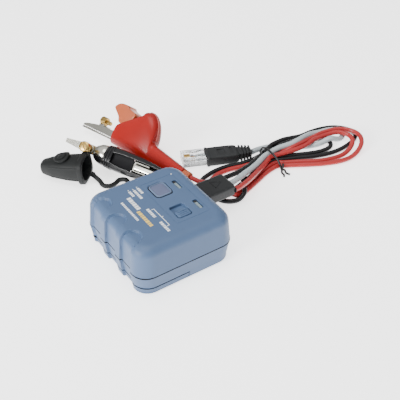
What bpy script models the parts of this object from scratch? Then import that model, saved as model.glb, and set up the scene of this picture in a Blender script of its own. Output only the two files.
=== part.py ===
"""Cable tone generator with test leads: housing, two piercing clips, a modular plug and a tied hank of leads.

Every length in this file is in millimetres; the helpers turn it into metres.  +X runs along the legends,
+Y towards the strain relief and +Z up.  The origin is the centre of the housing's underside.
"""
import math

import bmesh
import bpy
from mathutils import Matrix, Vector

MM = 0.001

# Housing
CASE_X = 62.0
CASE_Y = 60.0
CASE_H = 30.5
SEAM_Z = 12.9
GAP = 0.3                  # clearance between pieces that touch
FLOOR_INSET = 1.5          # how far the underside is drawn in from the seam
ROOF_INSET = 0.9           # how far the roof is drawn in from the seam
ROOF_FILLET = 5.6
FLOOR_FILLET = 1.4
CORNER_R = 9.0
WALL = 1.8
FRONT_WALL = 3.4           # thicker, because the finger grooves are cut into it
GROOVE_DEPTH = 1.4
GROOVE_W = 10.9
GROOVE_X = (-17.3, -1.2, 14.9)
GROOVE_END_Y = -19.6       # where the grooves stop on the roof
DOOR_H = 4.5
DOOR_BACK_Y = 0.0
DOOR_TRAVEL = 34.0

# Controls on the roof
BUTTON_AT = (-10.5, 7.8)
BUTTON_SIZE = (10.4, 8.7)
BUTTON_TRAVEL = 1.2
SLIDE_AT = (11.0, 7.3)
SLIDE_WELL = (10.6, 8.8, 3.0)
KNOB_SIZE = (5.2, 8.0)
KNOB_REST_X = 13.3
KNOB_TRAVEL = 4.6
LIGHT_Y = 18.0
LIGHT_X = (-9.4, 11.3)
LIGHT_SLOT = (7.4, 2.2)

# Electronics
BOARD_Z = 21.2
BOARD_T = 1.6
BATTERY = (48.5, 26.5, 17.5)
BATTERY_AT = (-1.0, -9.2, 11.1)
SCREWS_AT = ((-21.0, 20.5), (21.0, 20.5))
SCREW_R = 1.3
SCREW_HEAD_R = 2.5

# Strain relief
RELIEF_X = -11.0
RELIEF_Z = 14.2
RELIEF_W = 15.5
RELIEF_H = 8.4
RELIEF_END_Y = 54.8

# Leads
LEAD_D = 2.8
CABLE_D = 3.4
LEAD_FINE = 4.2            # spacing of a lead's points in its bends
LEAD_COARSE = 9.0          # and on its straight runs
LEAD_SAG = 0.3             # how far a bend may stray from its curve

# Clips: u runs from the jaws to the lead, v from the spine to the thumb tip, w across
PIVOT_U = 9.0
PIVOT_V = 4.0
JAW_TIP_U = -28.5
BOOT_WALL = 1.2
TALL_BOOT = (              # u, lowest v, highest v, half width
    (0.0, -2.6, 9.8, 6.4), (6.0, -3.0, 15.0, 7.2), (12.0, -3.3, 20.2, 7.5), (19.0, -3.6, 26.3, 7.2),
    (24.5, -4.1, 26.2, 6.6), (29.0, -4.3, 22.4, 5.8), (32.0, -4.3, 16.5, 5.1), (33.6, -4.3, 9.8, 4.7),
    (38.0, -4.2, 8.5, 4.4), (50.0, -3.7, 6.6, 3.9), (62.0, -1.9, 4.5, 3.2))
TALL_CAVITY = (
    (-2.0, -1.4, 15.0, 5.2), (6.0, -1.7, 24.0, 5.9), (12.0, -2.0, 29.0, 6.2), (18.0, -2.3, 34.0, 6.0),
    (19.4, -2.4, 24.9, 5.9), (24.5, -2.8, 24.8, 5.3), (28.4, -3.0, 21.0, 4.5), (31.0, -3.0, 15.0, 3.9),
    (32.6, -3.0, 8.6, 3.6), (38.0, -2.9, 7.2, 3.2), (50.0, -2.4, 5.2, 2.7), (58.0, -0.6, 3.4, 2.0))
SLIM_BOOT = (
    (0.0, -3.2, 7.0, 6.6), (6.0, -3.8, 9.0, 7.3), (14.0, -4.2, 10.0, 7.4), (24.0, -4.3, 10.0, 7.0),
    (32.0, -4.3, 9.4, 6.1), (40.0, -4.2, 8.0, 5.2), (50.0, -3.7, 6.6, 4.2), (62.0, -1.9, 4.5, 3.2))
SLIM_CAVITY = (
    (-2.0, -2.0, 14.0, 5.4), (6.0, -2.6, 15.0, 6.1), (15.0, -3.0, 15.0, 6.2), (16.4, -3.0, 8.6, 6.1),
    (24.0, -3.1, 8.6, 5.7), (32.0, -3.1, 8.0, 4.8), (40.0, -3.0, 6.6, 3.9), (50.0, -2.5, 5.2, 2.9),
    (58.0, -0.6, 3.4, 2.0))
TALL_LEVER = ((5.2, 8.2), (3.4, 15.0), (2.4, 19.6), (3.4, 19.9), (4.6, 15.2), (7.6, 9.4))
TALL_TIP = ((-6.2, 19.4), (-5.4, 22.2), (-2.2, 24.2), (3.2, 24.6), (5.4, 23.2), (11.8, 21.4), (11.2, 17.6),
            (6.4, 12.6), (1.6, 12.0), (-1.0, 15.6))
TALL_TIP_SLOT = ((1.2, 19.9), (5.0, 20.4), (5.6, 15.2), (9.4, 9.4), (3.6, 9.4), (2.4, 15.0))
SLIM_LEVER = ((5.2, 7.4), (5.0, 10.4), (5.4, 10.8), (7.0, 10.8), (7.4, 10.4), (8.4, 8.6))
SLIM_TIP = ((-2.0, 9.2), (-2.0, 10.6), (-0.6, 12.2), (3.0, 12.9), (7.0, 12.9), (10.4, 12.2), (11.8, 10.8),
            (11.8, 9.2), (9.0, 8.8), (1.0, 8.8))
SLIM_TIP_SLOT = ((4.4, 11.1), (7.9, 11.1), (9.2, 8.0), (4.4, 6.0))
SPINE_SLIT = ((5.0, 2.2), (30.0, 2.9), (42.0, 2.4), (48.0, 1.6))
RED_CLIP = {
    "at": (-102.6, 27.0, 5.7), "heading": 15.0, "tilt": 0.0, "lean": 50.0, "boot": TALL_BOOT,
    "cavity": TALL_CAVITY, "lever": TALL_LEVER, "tip": TALL_TIP, "tip_slot": TALL_TIP_SLOT,
    "slit": None, "screw": ((-15.6, 8.2, 0.0), (-7.0, 8.2, 0.0))}
BLACK_CLIP = {
    "at": (-78.85, 9.4, 13.1), "heading": 30.7, "tilt": 6.6, "lean": -43.0, "boot": SLIM_BOOT,
    "cavity": SLIM_CAVITY, "lever": SLIM_LEVER, "tip": SLIM_TIP, "tip_slot": SLIM_TIP_SLOT,
    "slit": SPINE_SLIT, "screw": ((-12.0, -9.9, 0.0), (-12.0, -2.2, 0.0))}

# Rubber jaw cover
COVER_OPEN = (-78.3, -4.6, 9.4)
COVER_TIP = (-99.6, -25.6, 6.2)

# Modular plug
PLUG_AT = (-53.6, 67.4)    # middle of the boot's front face
PLUG_HEADING = 68.4
PLUG_L = 15.0
PLUG_W = 11.7
PLUG_H = 5.5
PLUG_LOW_Z = 1.8
BOOT_L = 22.0
BOOT_W = 13.2
BOOT_H = 7.4
TAIL_L = 8.5

# Routes of the leads through points chosen along them
BLACK_ROUTE = (
    (-17.2, 55.3, 14.2), (-17.8, 60, 13.7), (-21.2, 70, 10.8), (-27.3, 84, 7.2), (-32.9, 94, 4.9),
    (-36.6, 103, 4.4), (-38.4, 107.5, 4.8), (-39.8, 112, 5.2), (-40, 121, 5.4), (-40.6, 129, 3.7),
    (-41.3, 138, 1.6), (-41.3, 148, 1.6), (-40, 157, 1.6), (-37, 164.5, 1.6), (-31.4, 170, 1.6),
    (-25.5, 171.6, 1.6), (-20.5, 169.5, 1.6), (-17.2, 164, 1.6), (-15.2, 157, 1.6), (-14.2, 149, 1.6),
    (-14.8, 140, 1.6), (-17.6, 130, 1.6), (-21.8, 121, 1.6), (-25.6, 112, 1.6), (-28.9, 103, 1.6),
    (-27, 93, 1.6), (-23.4, 82, 1.6), (-20, 72, 1.6), (-17.6, 63, 1.6), (-17.6, 55.4, 1.6), (-21, 49.5, 1.6),
    (-27.5, 47.2, 1.6), (-33.3, 49.8, 1.6), (-37.5, 55, 1.6), (-39.6, 62, 1.6), (-40.3, 69, 1.6), (-39.6, 76, 1.6),
    (-37.6, 84, 1.6), (-37, 93, 1.6), (-38.2, 103, 1.6), (-38.1, 107, 1.6), (-37.6, 111, 2.4),
    (-36.8, 116.5, 5), (-36, 121, 5.4), (-35.8, 125.5, 4.6), (-35.4, 131, 2.6), (-34.6, 136.5, 1.6),
    (-33, 143, 1.6), (-31, 147.9, 1.6), (-26.2, 149.9, 1.6), (-21.5, 147.9, 1.6), (-19.5, 143.2, 1.6),
    (-19.9, 136, 1.6), (-22.4, 128, 1.6), (-25.9, 120, 1.6), (-29.5, 111.5, 1.6), (-32.1, 103, 1.6),
    (-30.3, 93, 1.6), (-28.4, 86, 1.6), (-26, 80, 3.2), (-22.4, 75.4, 4.7), (-17.6, 71.2, 4.8),
    (-12, 68, 4.9), (-8.6, 65.4, 4.4), (-7.7, 61, 2.2), (-8.9, 56.8, 1.7), (-11.3, 53.2, 1.8),
    (-14.2, 50.4, 2.5), (-17.6, 47.5, 3.6), (-21.25, 44.85, 4.3))
RED_ROUTE = (
    (-4.8, 55.3, 14.2), (-5.6, 60, 13.7), (-10.6, 70, 11.2), (-18.8, 84, 7.8), (-24.9, 94, 5.4),
    (-27.5, 98.8, 4.9), (-29.6, 103, 4.7), (-28, 112, 5), (-26.4, 121, 5.4), (-26.8, 130, 5.3),
    (-28.2, 137, 5.6), (-29, 143, 5.3), (-28.8, 150, 5.2), (-26.4, 157.5, 5.8), (-20.6, 162.2, 5.2),
    (-14.4, 160.4, 4.7), (-10.2, 154.4, 3), (-8.6, 146, 1.6), (-9.8, 136, 1.6), (-13, 127, 1.6),
    (-18, 118, 1.6), (-22.6, 109.5, 1.6), (-25.8, 103, 1.6), (-24, 93, 1.6), (-20.1, 82, 1.6),
    (-16.5, 72, 1.6), (-13.9, 64, 1.6), (-15.4, 57.9, 4), (-19.8, 53.8, 4.7), (-25.5, 52.4, 3.4),
    (-30.6, 54.8, 1.9), (-34.4, 60, 1.65), (-36.4, 67, 1.6), (-36.3, 75, 1.6), (-34.4, 84, 1.6),
    (-33.7, 93, 1.6), (-35.1, 103, 1.6), (-33, 111, 2), (-30.7, 116, 3.8), (-29.6, 121, 5.4),
    (-30.4, 130, 5.2), (-31.8, 140, 4.9), (-32.2, 150, 5.2), (-29.8, 160, 5.5), (-24.4, 167, 5.2),
    (-17, 168.6, 5), (-10, 164.6, 4.6), (-5.4, 157.4, 3), (-3.6, 149, 1.6), (-4.2, 140, 1.6), (-7.4, 130.5, 1.6),
    (-12.2, 121, 1.6), (-17.2, 112.5, 1.6), (-19.8, 107.7, 1.6), (-22.4, 103, 1.6), (-20.8, 93, 1.6),
    (-16.8, 82, 1.6), (-13.2, 72, 1.6), (-10.9, 64.5, 1.6), (-11.6, 58.6, 5), (-15.2, 55, 7.9),
    (-20.5, 52.6, 8.2), (-25.5, 49.7, 7.8), (-30.6, 47.4, 7), (-33.9, 46.35, 6.8), (-37, 45.5, 6.8))
CABLE_ROUTE = (
    (-11, 55.3, 14.2), (-11.8, 60, 13.8), (-16.2, 70, 11.9), (-23.1, 84, 8.4), (-29, 94, 6), (-31.4, 98.5, 5.4),
    (-32.9, 103, 5), (-33.8, 112, 5.5), (-32.8, 121, 5.8), (-33.1, 127.5, 6), (-35.4, 137, 5),
    (-37.2, 145, 3.2), (-37.2, 152, 2), (-36.4, 157, 2), (-34.4, 161.8, 2), (-30, 164.2, 2), (-25.4, 162, 2),
    (-23.4, 157.4, 2.1), (-23.4, 153, 3.6), (-24, 148.4, 5.1), (-25.4, 141, 3.2), (-28.4, 134, 2),
    (-32.2, 127, 2), (-37.3, 119.6, 2), (-42, 112, 2), (-43.2, 104, 2.6), (-41.9, 96.6, 3.8))


# --- helpers -------------------------------------------------------------------------------------------------

def clear_scene():
    """Start from an empty scene."""
    for item in list(bpy.data.objects):
        bpy.data.objects.remove(item, do_unlink=True)


def new_collection(name):
    collection = bpy.data.collections.new(name)
    bpy.context.scene.collection.children.link(collection)
    return collection


def material(name, colour, roughness, metallic=0.0):
    """A Principled material of one colour."""
    made = bpy.data.materials.new(name)
    made.use_nodes = True
    shader = made.node_tree.nodes["Principled BSDF"]
    shader.inputs["Base Color"].default_value = (*colour, 1.0)
    shader.inputs["Roughness"].default_value = roughness
    shader.inputs["Metallic"].default_value = metallic
    return made


def make(name, shape, finish, cutter=False):
    """Turn a bmesh in millimetres into an object in metres."""
    bmesh.ops.recalc_face_normals(shape, faces=shape.faces)
    bmesh.ops.scale(shape, vec=(MM, MM, MM), verts=shape.verts)
    mesh = bpy.data.meshes.new(name)
    shape.to_mesh(mesh)
    shape.free()
    item = bpy.data.objects.new(name, mesh)
    if finish is not None:
        mesh.materials.append(finish)
    (CUTTERS if cutter else PARTS).objects.link(item)
    if cutter:
        item.hide_render = True
        item.display_type = "WIRE"
    return item


def box_shape(size, at):
    shape = bmesh.new()
    bmesh.ops.create_cube(shape, size=1.0)
    bmesh.ops.scale(shape, vec=size, verts=shape.verts)
    bmesh.ops.translate(shape, vec=at, verts=shape.verts)
    return shape


def box(name, size, at, finish=None, bevel=0.0, segments=2, cutter=False):
    """A box, with rounded edges where bevel is given."""
    item = make(name, box_shape(size, at), finish, cutter)
    if bevel:
        rounding = item.modifiers.new("rounding", "BEVEL")
        rounding.width = bevel * MM
        rounding.segments = segments
    return item


def rod(name, radius, start, end, finish=None, sides=16, cutter=False, end_radius=None):
    """A round bar or cone from start to end."""
    start, end = Vector(start), Vector(end)
    shape = bmesh.new()
    bmesh.ops.create_cone(shape, cap_ends=True, segments=sides, radius1=radius,
                          radius2=radius if end_radius is None else end_radius, depth=(end - start).length)
    turn = (end - start).to_track_quat("Z", "Y").to_matrix()
    bmesh.ops.rotate(shape, matrix=turn, verts=shape.verts)
    bmesh.ops.translate(shape, vec=(start + end) / 2, verts=shape.verts)
    return make(name, shape, finish, cutter)


def loft_shape(rings):
    """A closed solid through rings that have the same number of points."""
    shape = bmesh.new()
    rows = [[shape.verts.new(point) for point in ring] for ring in rings]
    count = len(rows[0])
    for low, high in zip(rows, rows[1:]):
        for i in range(count):
            j = (i + 1) % count
            shape.faces.new((low[i], low[j], high[j], high[i]))
    shape.faces.new(reversed(rows[0]))
    shape.faces.new(rows[-1])
    return shape


def rounded_outline(half_x, half_y, radius, corner_steps=4):
    """Points of a rectangle with round corners, anticlockwise."""
    radius = min(radius, half_x, half_y)
    points = []
    for quarter, (sx, sy) in enumerate(((1, 1), (-1, 1), (-1, -1), (1, -1))):
        for step in range(corner_steps + 1):
            angle = math.pi / 2 * (quarter + step / corner_steps)
            points.append((sx * (half_x - radius) + radius * math.cos(angle),
                           sy * (half_y - radius) + radius * math.sin(angle)))
    return points


def slab_rings(levels, corner_steps=4, centre=(0.0, 0.0)):
    """Rings for a loft along Z from (z, half x, half y, corner radius) levels."""
    return [[(centre[0] + x, centre[1] + y, z) for x, y in rounded_outline(half_x, half_y, radius, corner_steps)]
            for z, half_x, half_y, radius in levels]


def slab(name, levels, finish=None, corner_steps=4, centre=(0.0, 0.0), cutter=False):
    return make(name, loft_shape(slab_rings(levels, corner_steps, centre)), finish, cutter)


def cut(target, *cutters):
    """Take the cutters out of the target."""
    for cutter in cutters:
        step = target.modifiers.new("cut", "BOOLEAN")
        step.operation = "DIFFERENCE"
        step.object = cutter


def join(target, *others):
    """Add hidden pieces to the target."""
    for other in others:
        step = target.modifiers.new("join", "BOOLEAN")
        step.operation = "UNION"
        step.object = other


def smooth_route(route, fine=LEAD_FINE, coarse=LEAD_COARSE):
    """Points on a Catmull-Rom curve through the route, closer together where it bends."""
    knots = [Vector(point) for point in route]
    dense = []
    for i in range(len(knots) - 1):
        before = knots[max(i - 1, 0)]
        here, there = knots[i], knots[i + 1]
        after = knots[min(i + 2, len(knots) - 1)]
        pieces = max(2, round((there - here).length / 0.5))
        for k in range(pieces):
            t = k / pieces
            dense.append(0.5 * (2 * here + (there - before) * t + (2 * before - 5 * here + 4 * there - after) * t ** 2
                                + (3 * here - before - 3 * there + after) * t ** 3))
    dense.append(knots[-1])
    share = [0.0]
    for i in range(1, len(dense)):
        first, last = dense[max(i - 4, 0)], dense[min(i + 4, len(dense) - 1)]
        sag = (dense[i] - (first + last) / 2).length
        reach = (last - first).length / 2
        radius = reach * reach / (2 * max(sag, 0.001))
        spacing = min(max(math.sqrt(8 * radius * LEAD_SAG), fine), coarse)
        share.append(share[-1] + (dense[i] - dense[i - 1]).length / spacing)
    count = math.ceil(share[-1])
    points, at = [], 0
    for k in range(count):
        target = share[-1] * k / count
        while share[at + 1] < target:
            at += 1
        points.append(dense[at].lerp(dense[at + 1], (target - share[at]) / (share[at + 1] - share[at])))
    points.append(dense[-1])
    return points


def tube(name, points, diameter, finish):
    """A round tube along points."""
    curve = bpy.data.curves.new(name, "CURVE")
    curve.dimensions = "3D"
    curve.bevel_depth = diameter / 2 * MM
    curve.bevel_resolution = 2
    curve.use_fill_caps = True
    spline = curve.splines.new("POLY")
    spline.points.add(len(points) - 1)
    for knot, point in zip(spline.points, points):
        knot.co = (*(Vector(point) * MM), 1.0)
    curve.materials.append(finish)
    item = bpy.data.objects.new(name, curve)
    PARTS.objects.link(item)
    return item


def meshed(item):
    """Make a curve object a mesh, with its caps welded."""
    mesh = bpy.data.meshes.new_from_object(item.evaluated_get(bpy.context.evaluated_depsgraph_get()))
    made = bpy.data.objects.new(item.name + "_mesh", mesh)
    made.matrix_world = item.matrix_world
    name, home = item.name, item.users_collection[0]
    bpy.data.objects.remove(item, do_unlink=True)
    made.name = name
    home.objects.link(made)
    shape = bmesh.new()
    shape.from_mesh(mesh)
    bmesh.ops.remove_doubles(shape, verts=shape.verts, dist=0.00001)
    bmesh.ops.recalc_face_normals(shape, faces=shape.faces)
    shape.to_mesh(mesh)
    shape.free()
    return made


# --- housing -------------------------------------------------------------------------------------------------

def upper_levels(inset, top_drop, foot_z):
    """Levels of the upper half of the case, drawn in by inset and lowered by top_drop."""
    half_x, half_y = CASE_X / 2 - inset, CASE_Y / 2 - inset
    top_z = CASE_H - top_drop
    fillet = max(ROOF_FILLET - inset, 1.5)
    levels = [(foot_z, half_x, half_y, CORNER_R - inset)]
    for degrees in (0, 30, 60, 90):
        angle = math.radians(degrees)
        drawn = ROOF_INSET + fillet * (1 - math.cos(angle))
        levels.append((top_z - fillet * (1 - math.sin(angle)), half_x - drawn, half_y - drawn,
                       max(CORNER_R - inset - drawn / 2, 2.0)))
    return levels


def finger_grooves():
    """Three cutters that follow the front face and turn over onto the roof."""
    grooves = []
    face_y = -CASE_Y / 2
    fillet = ROOF_FILLET
    centre_y = face_y + ROOF_INSET + fillet
    centre_z = CASE_H - fillet
    inner = [(face_y + FLOOR_INSET + GROOVE_DEPTH + 1.4, -1.0), (face_y + FLOOR_INSET + GROOVE_DEPTH, 1.6),
             (face_y + GROOVE_DEPTH, SEAM_Z)]
    for degrees in (0, 30, 60, 90):
        angle = math.radians(degrees)
        reach = fillet - GROOVE_DEPTH
        inner.append((centre_y - reach * math.cos(angle), centre_z + reach * math.sin(angle)))
    inner.append((GROOVE_END_Y, CASE_H - GROOVE_DEPTH))
    outer = [(GROOVE_END_Y, CASE_H + 3.0), (face_y - 3.0, CASE_H + 3.0), (face_y - 3.0, -1.0)]
    profile = inner + outer
    for index, middle in enumerate(GROOVE_X, 1):
        shape = loft_shape([[(middle + side * GROOVE_W / 2, y, z) for y, z in profile] for side in (-1, 1)])
        grooves.append(make("groove_cutter_%d" % index, shape, None, cutter=True))
    return grooves


def build_top_cover(grooves):
    """The upper shell, with its button hole, slide well, light slots and screw bosses."""
    cover = slab("top_cover", upper_levels(0.0, 0.0, SEAM_Z + GAP / 2), BLUE)
    hollow_levels = upper_levels(WALL, WALL, SEAM_Z - 1.0)
    hollow = [[(x, y + (FRONT_WALL - WALL) / 2 * (1 - y / (CASE_Y / 2 - WALL)), z) for x, y, z in ring]
              for ring in slab_rings(hollow_levels)]
    cut(cover, make("top_hollow", loft_shape(hollow), None, cutter=True))
    well_x, well_y, well_depth = SLIDE_WELL
    well_block = box("well_block", (well_x + 3.0, well_y + 3.0, well_depth + 1.0),
                     (*SLIDE_AT, CASE_H - 0.4 - (well_depth + 1.0) / 2), cutter=True)
    join(cover, well_block)
    well = slab("well_cutter", ((CASE_H - well_depth, well_x / 2, well_y / 2, 1.5),
                                (CASE_H + 1.0, well_x / 2, well_y / 2, 1.5)), centre=SLIDE_AT, cutter=True)
    stem_slot = box("stem_slot_cutter", (7.6, 3.2, 4.0), (*SLIDE_AT, CASE_H - well_depth - 1.0), cutter=True)
    button_hole = slab("button_hole_cutter",
                       ((CASE_H - 4.0, BUTTON_SIZE[0] / 2 + 0.5, BUTTON_SIZE[1] / 2 + 0.5, 2.6),
                        (CASE_H + 1.0, BUTTON_SIZE[0] / 2 + 0.5, BUTTON_SIZE[1] / 2 + 0.5, 2.6)),
                       centre=BUTTON_AT, cutter=True)
    lights = [box("light_slot_cutter_%d" % i, (LIGHT_SLOT[0] + GAP * 2, LIGHT_SLOT[1] + GAP * 2, 6.0),
                  (x, LIGHT_Y, CASE_H - 1.0), cutter=True) for i, x in enumerate(LIGHT_X, 1)]
    relief_hole = box("top_relief_cutter", (RELIEF_W + 2 * GAP, 8.0, RELIEF_H + 2 * GAP),
                      (RELIEF_X, CASE_Y / 2, RELIEF_Z), cutter=True)
    for index, (x, y) in enumerate(SCREWS_AT, 1):
        join(cover, rod("top_boss_%d" % index, 3.2, (x, y, BOARD_Z + BOARD_T / 2 + GAP), (x, y, CASE_H - 1.0),
                        cutter=True))
        cut(cover, rod("top_boss_hole_%d" % index, SCREW_R + GAP, (x, y, 12.0), (x, y, 27.6), sides=12, cutter=True))
    cut(cover, well, stem_slot, button_hole, relief_hole, *lights, *grooves)
    return cover


def lower_levels(inset, floor_rise, rim_z):
    """Levels of the lower half of the case."""
    half_x, half_y = CASE_X / 2 - inset, CASE_Y / 2 - inset
    drawn = FLOOR_INSET + FLOOR_FILLET
    return [(floor_rise, half_x - drawn, half_y - drawn, CORNER_R - inset - 1.0),
            (floor_rise + FLOOR_FILLET * 0.35, half_x - FLOOR_INSET - 0.4, half_y - FLOOR_INSET - 0.4,
             CORNER_R - inset - 0.5),
            (floor_rise + FLOOR_FILLET, half_x - FLOOR_INSET * 0.9, half_y - FLOOR_INSET * 0.9, CORNER_R - inset),
            (rim_z, half_x, half_y, CORNER_R - inset)]


def build_bottom_cover(grooves):
    """The lower shell, open underneath where the battery door goes."""
    cover = slab("bottom_cover", lower_levels(0.0, 0.0, SEAM_Z - GAP / 2), BLUE)
    hollow = [[(x, y + (FRONT_WALL - WALL) / 2 * (1 - y / (CASE_Y / 2 - WALL)), z) for x, y, z in ring]
              for ring in slab_rings(lower_levels(WALL, WALL, SEAM_Z + 1.0))]
    bottom_hollow = make("bottom_hollow", loft_shape(hollow), None, cutter=True)
    door_space = box("door_space_cutter", (CASE_X + 4.0, CASE_Y / 2 + 2.0 + DOOR_BACK_Y + GAP, DOOR_H + GAP + 2.0),
                     (0.0, (DOOR_BACK_Y + GAP - CASE_Y / 2 - 2.0) / 2, (DOOR_H + GAP - 2.0) / 2), cutter=True)
    relief_hole = box("bottom_relief_cutter", (RELIEF_W + 2 * GAP, 8.0, RELIEF_H + 2 * GAP),
                      (RELIEF_X, CASE_Y / 2, RELIEF_Z), cutter=True)
    cut(cover, bottom_hollow)
    for index, (x, y) in enumerate(SCREWS_AT, 1):
        join(cover, rod("low_boss_%d" % index, 3.6, (x, y, 0.8), (x, y, BOARD_Z - BOARD_T / 2 - GAP), cutter=True))
        cut(cover, rod("low_boss_hole_%d" % index, SCREW_R + GAP, (x, y, -1.0), (x, y, 24.0), sides=12, cutter=True),
            rod("low_boss_sink_%d" % index, SCREW_HEAD_R + GAP, (x, y, -1.0), (x, y, 2.6), cutter=True))
    cut(cover, door_space, relief_hole, *grooves)
    return cover


def build_battery_door(grooves):
    """A shallow tray that closes the battery bay and slides out towards the front."""
    door = slab("battery_door", lower_levels(0.0, 0.0, SEAM_Z), BLUE)
    hollow = [[(x, y + (FRONT_WALL - WALL) / 2 * (1 - y / (CASE_Y / 2 - WALL)), z) for x, y, z in ring]
              for ring in slab_rings(lower_levels(WALL, WALL, SEAM_Z + 1.0))]
    inner = make("door_hollow", loft_shape(hollow), None, cutter=True)
    above = box("door_top_cutter", (CASE_X + 4.0, CASE_Y + 4.0, 20.0), (0.0, 0.0, DOOR_H + 10.0), cutter=True)
    behind = box("door_back_cutter", (CASE_X + 4.0, CASE_Y, 20.0),
                 (0.0, DOOR_BACK_Y + CASE_Y / 2, 5.0), cutter=True)
    cut(door, inner, above, behind, *grooves)
    return door


def build_controls():
    """Push button, slide switch, their bodies on the board, and the two indicator lights."""
    button = slab("power_button", ((CASE_H - 3.2, BUTTON_SIZE[0] / 2, BUTTON_SIZE[1] / 2, 2.3),
                                   (CASE_H - 0.2, BUTTON_SIZE[0] / 2, BUTTON_SIZE[1] / 2, 2.3),
                                   (CASE_H + 0.2, BUTTON_SIZE[0] / 2 - 0.5, BUTTON_SIZE[1] / 2 - 0.5, 1.9)),
                  LILAC, centre=BUTTON_AT)
    board_top = BOARD_Z + BOARD_T / 2
    box("button_switch", (6.0, 6.0, CASE_H - 3.2 - BUTTON_TRAVEL - GAP * 2 - board_top),
        (*BUTTON_AT, (board_top + GAP + CASE_H - 3.2 - BUTTON_TRAVEL - GAP) / 2), DARK, bevel=0.3, segments=1)
    knob_top = CASE_H + 0.5
    knob_low = CASE_H - SLIDE_WELL[2] + GAP
    knob = slab("slide_knob", ((knob_low, KNOB_SIZE[0] / 2, KNOB_SIZE[1] / 2, 1.2),
                               (knob_top - 0.6, KNOB_SIZE[0] / 2, KNOB_SIZE[1] / 2, 1.2),
                               (knob_top, KNOB_SIZE[0] / 2 - 0.5, KNOB_SIZE[1] / 2 - 0.5, 0.8)),
                LILAC, centre=(KNOB_REST_X, SLIDE_AT[1]), corner_steps=3)
    for index in (-1, 0, 1):
        groove = box("knob_groove_cutter_%d" % (index + 2), (0.6, KNOB_SIZE[1] + 1.0, 1.0),
                     (KNOB_REST_X + index * 1.4, SLIDE_AT[1], knob_top), cutter=True)
        cut(knob, groove)
    stem = box("knob_stem", (2.0, 2.2, 3.4), (KNOB_REST_X, SLIDE_AT[1], knob_low - 1.4), cutter=True)
    join(knob, stem)
    body_top = knob_low - 3.1 - GAP
    box("slide_switch", (11.0, 5.0, body_top - board_top - GAP),
        (*SLIDE_AT, (body_top + board_top + GAP) / 2), DARK, bevel=0.3, segments=1)
    for side, x in zip(("left", "right"), LIGHT_X):
        box("light_window_" + side, (LIGHT_SLOT[0], LIGHT_SLOT[1], 2.2), (x, LIGHT_Y, CASE_H - 1.0 - 0.2),
            CLEAR, bevel=0.5)
        rod("led_" + side, 1.5, (x, LIGHT_Y, board_top + GAP), (x, LIGHT_Y, CASE_H - 3.4), LIGHT, sides=12,
            end_radius=1.1)
    return button, knob


def build_inside():
    """Circuit board with its larger components, battery and battery snap."""
    board = box("circuit_board", (50.0, 34.0, BOARD_T), (0.0, 8.0, BOARD_Z), BOARD_GREEN)
    for index, (x, y) in enumerate(SCREWS_AT, 1):
        cut(board, rod("board_hole_%d" % index, SCREW_R + GAP, (x, y, 18.0), (x, y, 24.0), sides=12, cutter=True))
        screw = rod("cover_screw_%d" % index, SCREW_R, (x, y, 1.0), (x, y, 27.2), STEEL, sides=12)
        join(screw, rod("screw_head_%d" % index, SCREW_HEAD_R, (x, y, 0.5), (x, y, 2.3), cutter=True))
    top = BOARD_Z + BOARD_T / 2 + GAP
    box("tone_chip", (9.9, 3.9, 1.6), (0.2, 14.0, top + 0.8), DARK)
    box("transformer", (9.0, 8.0, 5.4), (17.0, -4.5, top + 2.7), DARK, bevel=0.5, segments=1)
    rod("capacitor", 2.5, (-17.0, -4.0, top), (-17.0, -4.0, top + 5.6), GREY_METAL, sides=14)
    battery = box("battery", BATTERY, BATTERY_AT, DARK, bevel=2.0)
    snap_x = BATTERY_AT[0] + BATTERY[0] / 2 + GAP
    box("battery_snap", (3.0, 22.0, 12.0), (snap_x + 1.5, BATTERY_AT[1], BATTERY_AT[2]), DARK, bevel=0.4,
        segments=1)
    return battery


def build_strain_relief():
    """Rectangular moulding with round edges that holds the three leads."""
    rings = []
    for y, shrink in ((CASE_Y / 2 - 3.0, 0.0), (RELIEF_END_Y - 1.0, 0.0), (RELIEF_END_Y, 0.7)):
        outline = rounded_outline(RELIEF_W / 2 - shrink, RELIEF_H / 2 - shrink, 2.2)
        rings.append([(RELIEF_X + x, y, RELIEF_Z + z) for x, z in outline])
    return make("strain_relief", loft_shape(rings), RUBBER)


# --- clips ---------------------------------------------------------------------------------------------------

def clip_matrix(pose):
    """World matrix of a clip's own frame."""
    heading, tilt, lean = (math.radians(pose[key]) for key in ("heading", "tilt", "lean"))
    along = Vector((math.cos(heading) * math.cos(tilt), math.sin(heading) * math.cos(tilt), -math.sin(tilt)))
    aside = Vector((-math.sin(heading), math.cos(heading), 0.0))
    rise = aside * math.cos(lean) + along.cross(aside) * math.sin(lean)
    across = along.cross(rise)
    matrix = Matrix((along, rise, across)).transposed().to_4x4()
    matrix.translation = Vector(pose["at"]) * MM
    return matrix


def boot_rings(sections, radius_share):
    rings = []
    for u, low, high, half in sections:
        outline = rounded_outline((high - low) / 2, half, min((high - low) / 2, half) * radius_share, 3)
        rings.append([(u, (low + high) / 2 + v, w) for v, w in outline])
    return rings


def jaw_plate(name, outline, half, finish, cutter=False):
    """A flat blank in the u-v plane, half wide to each side."""
    return make(name, loft_shape([[(u, v, w) for u, v in outline] for w in (-half, half)]), finish, cutter)


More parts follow.
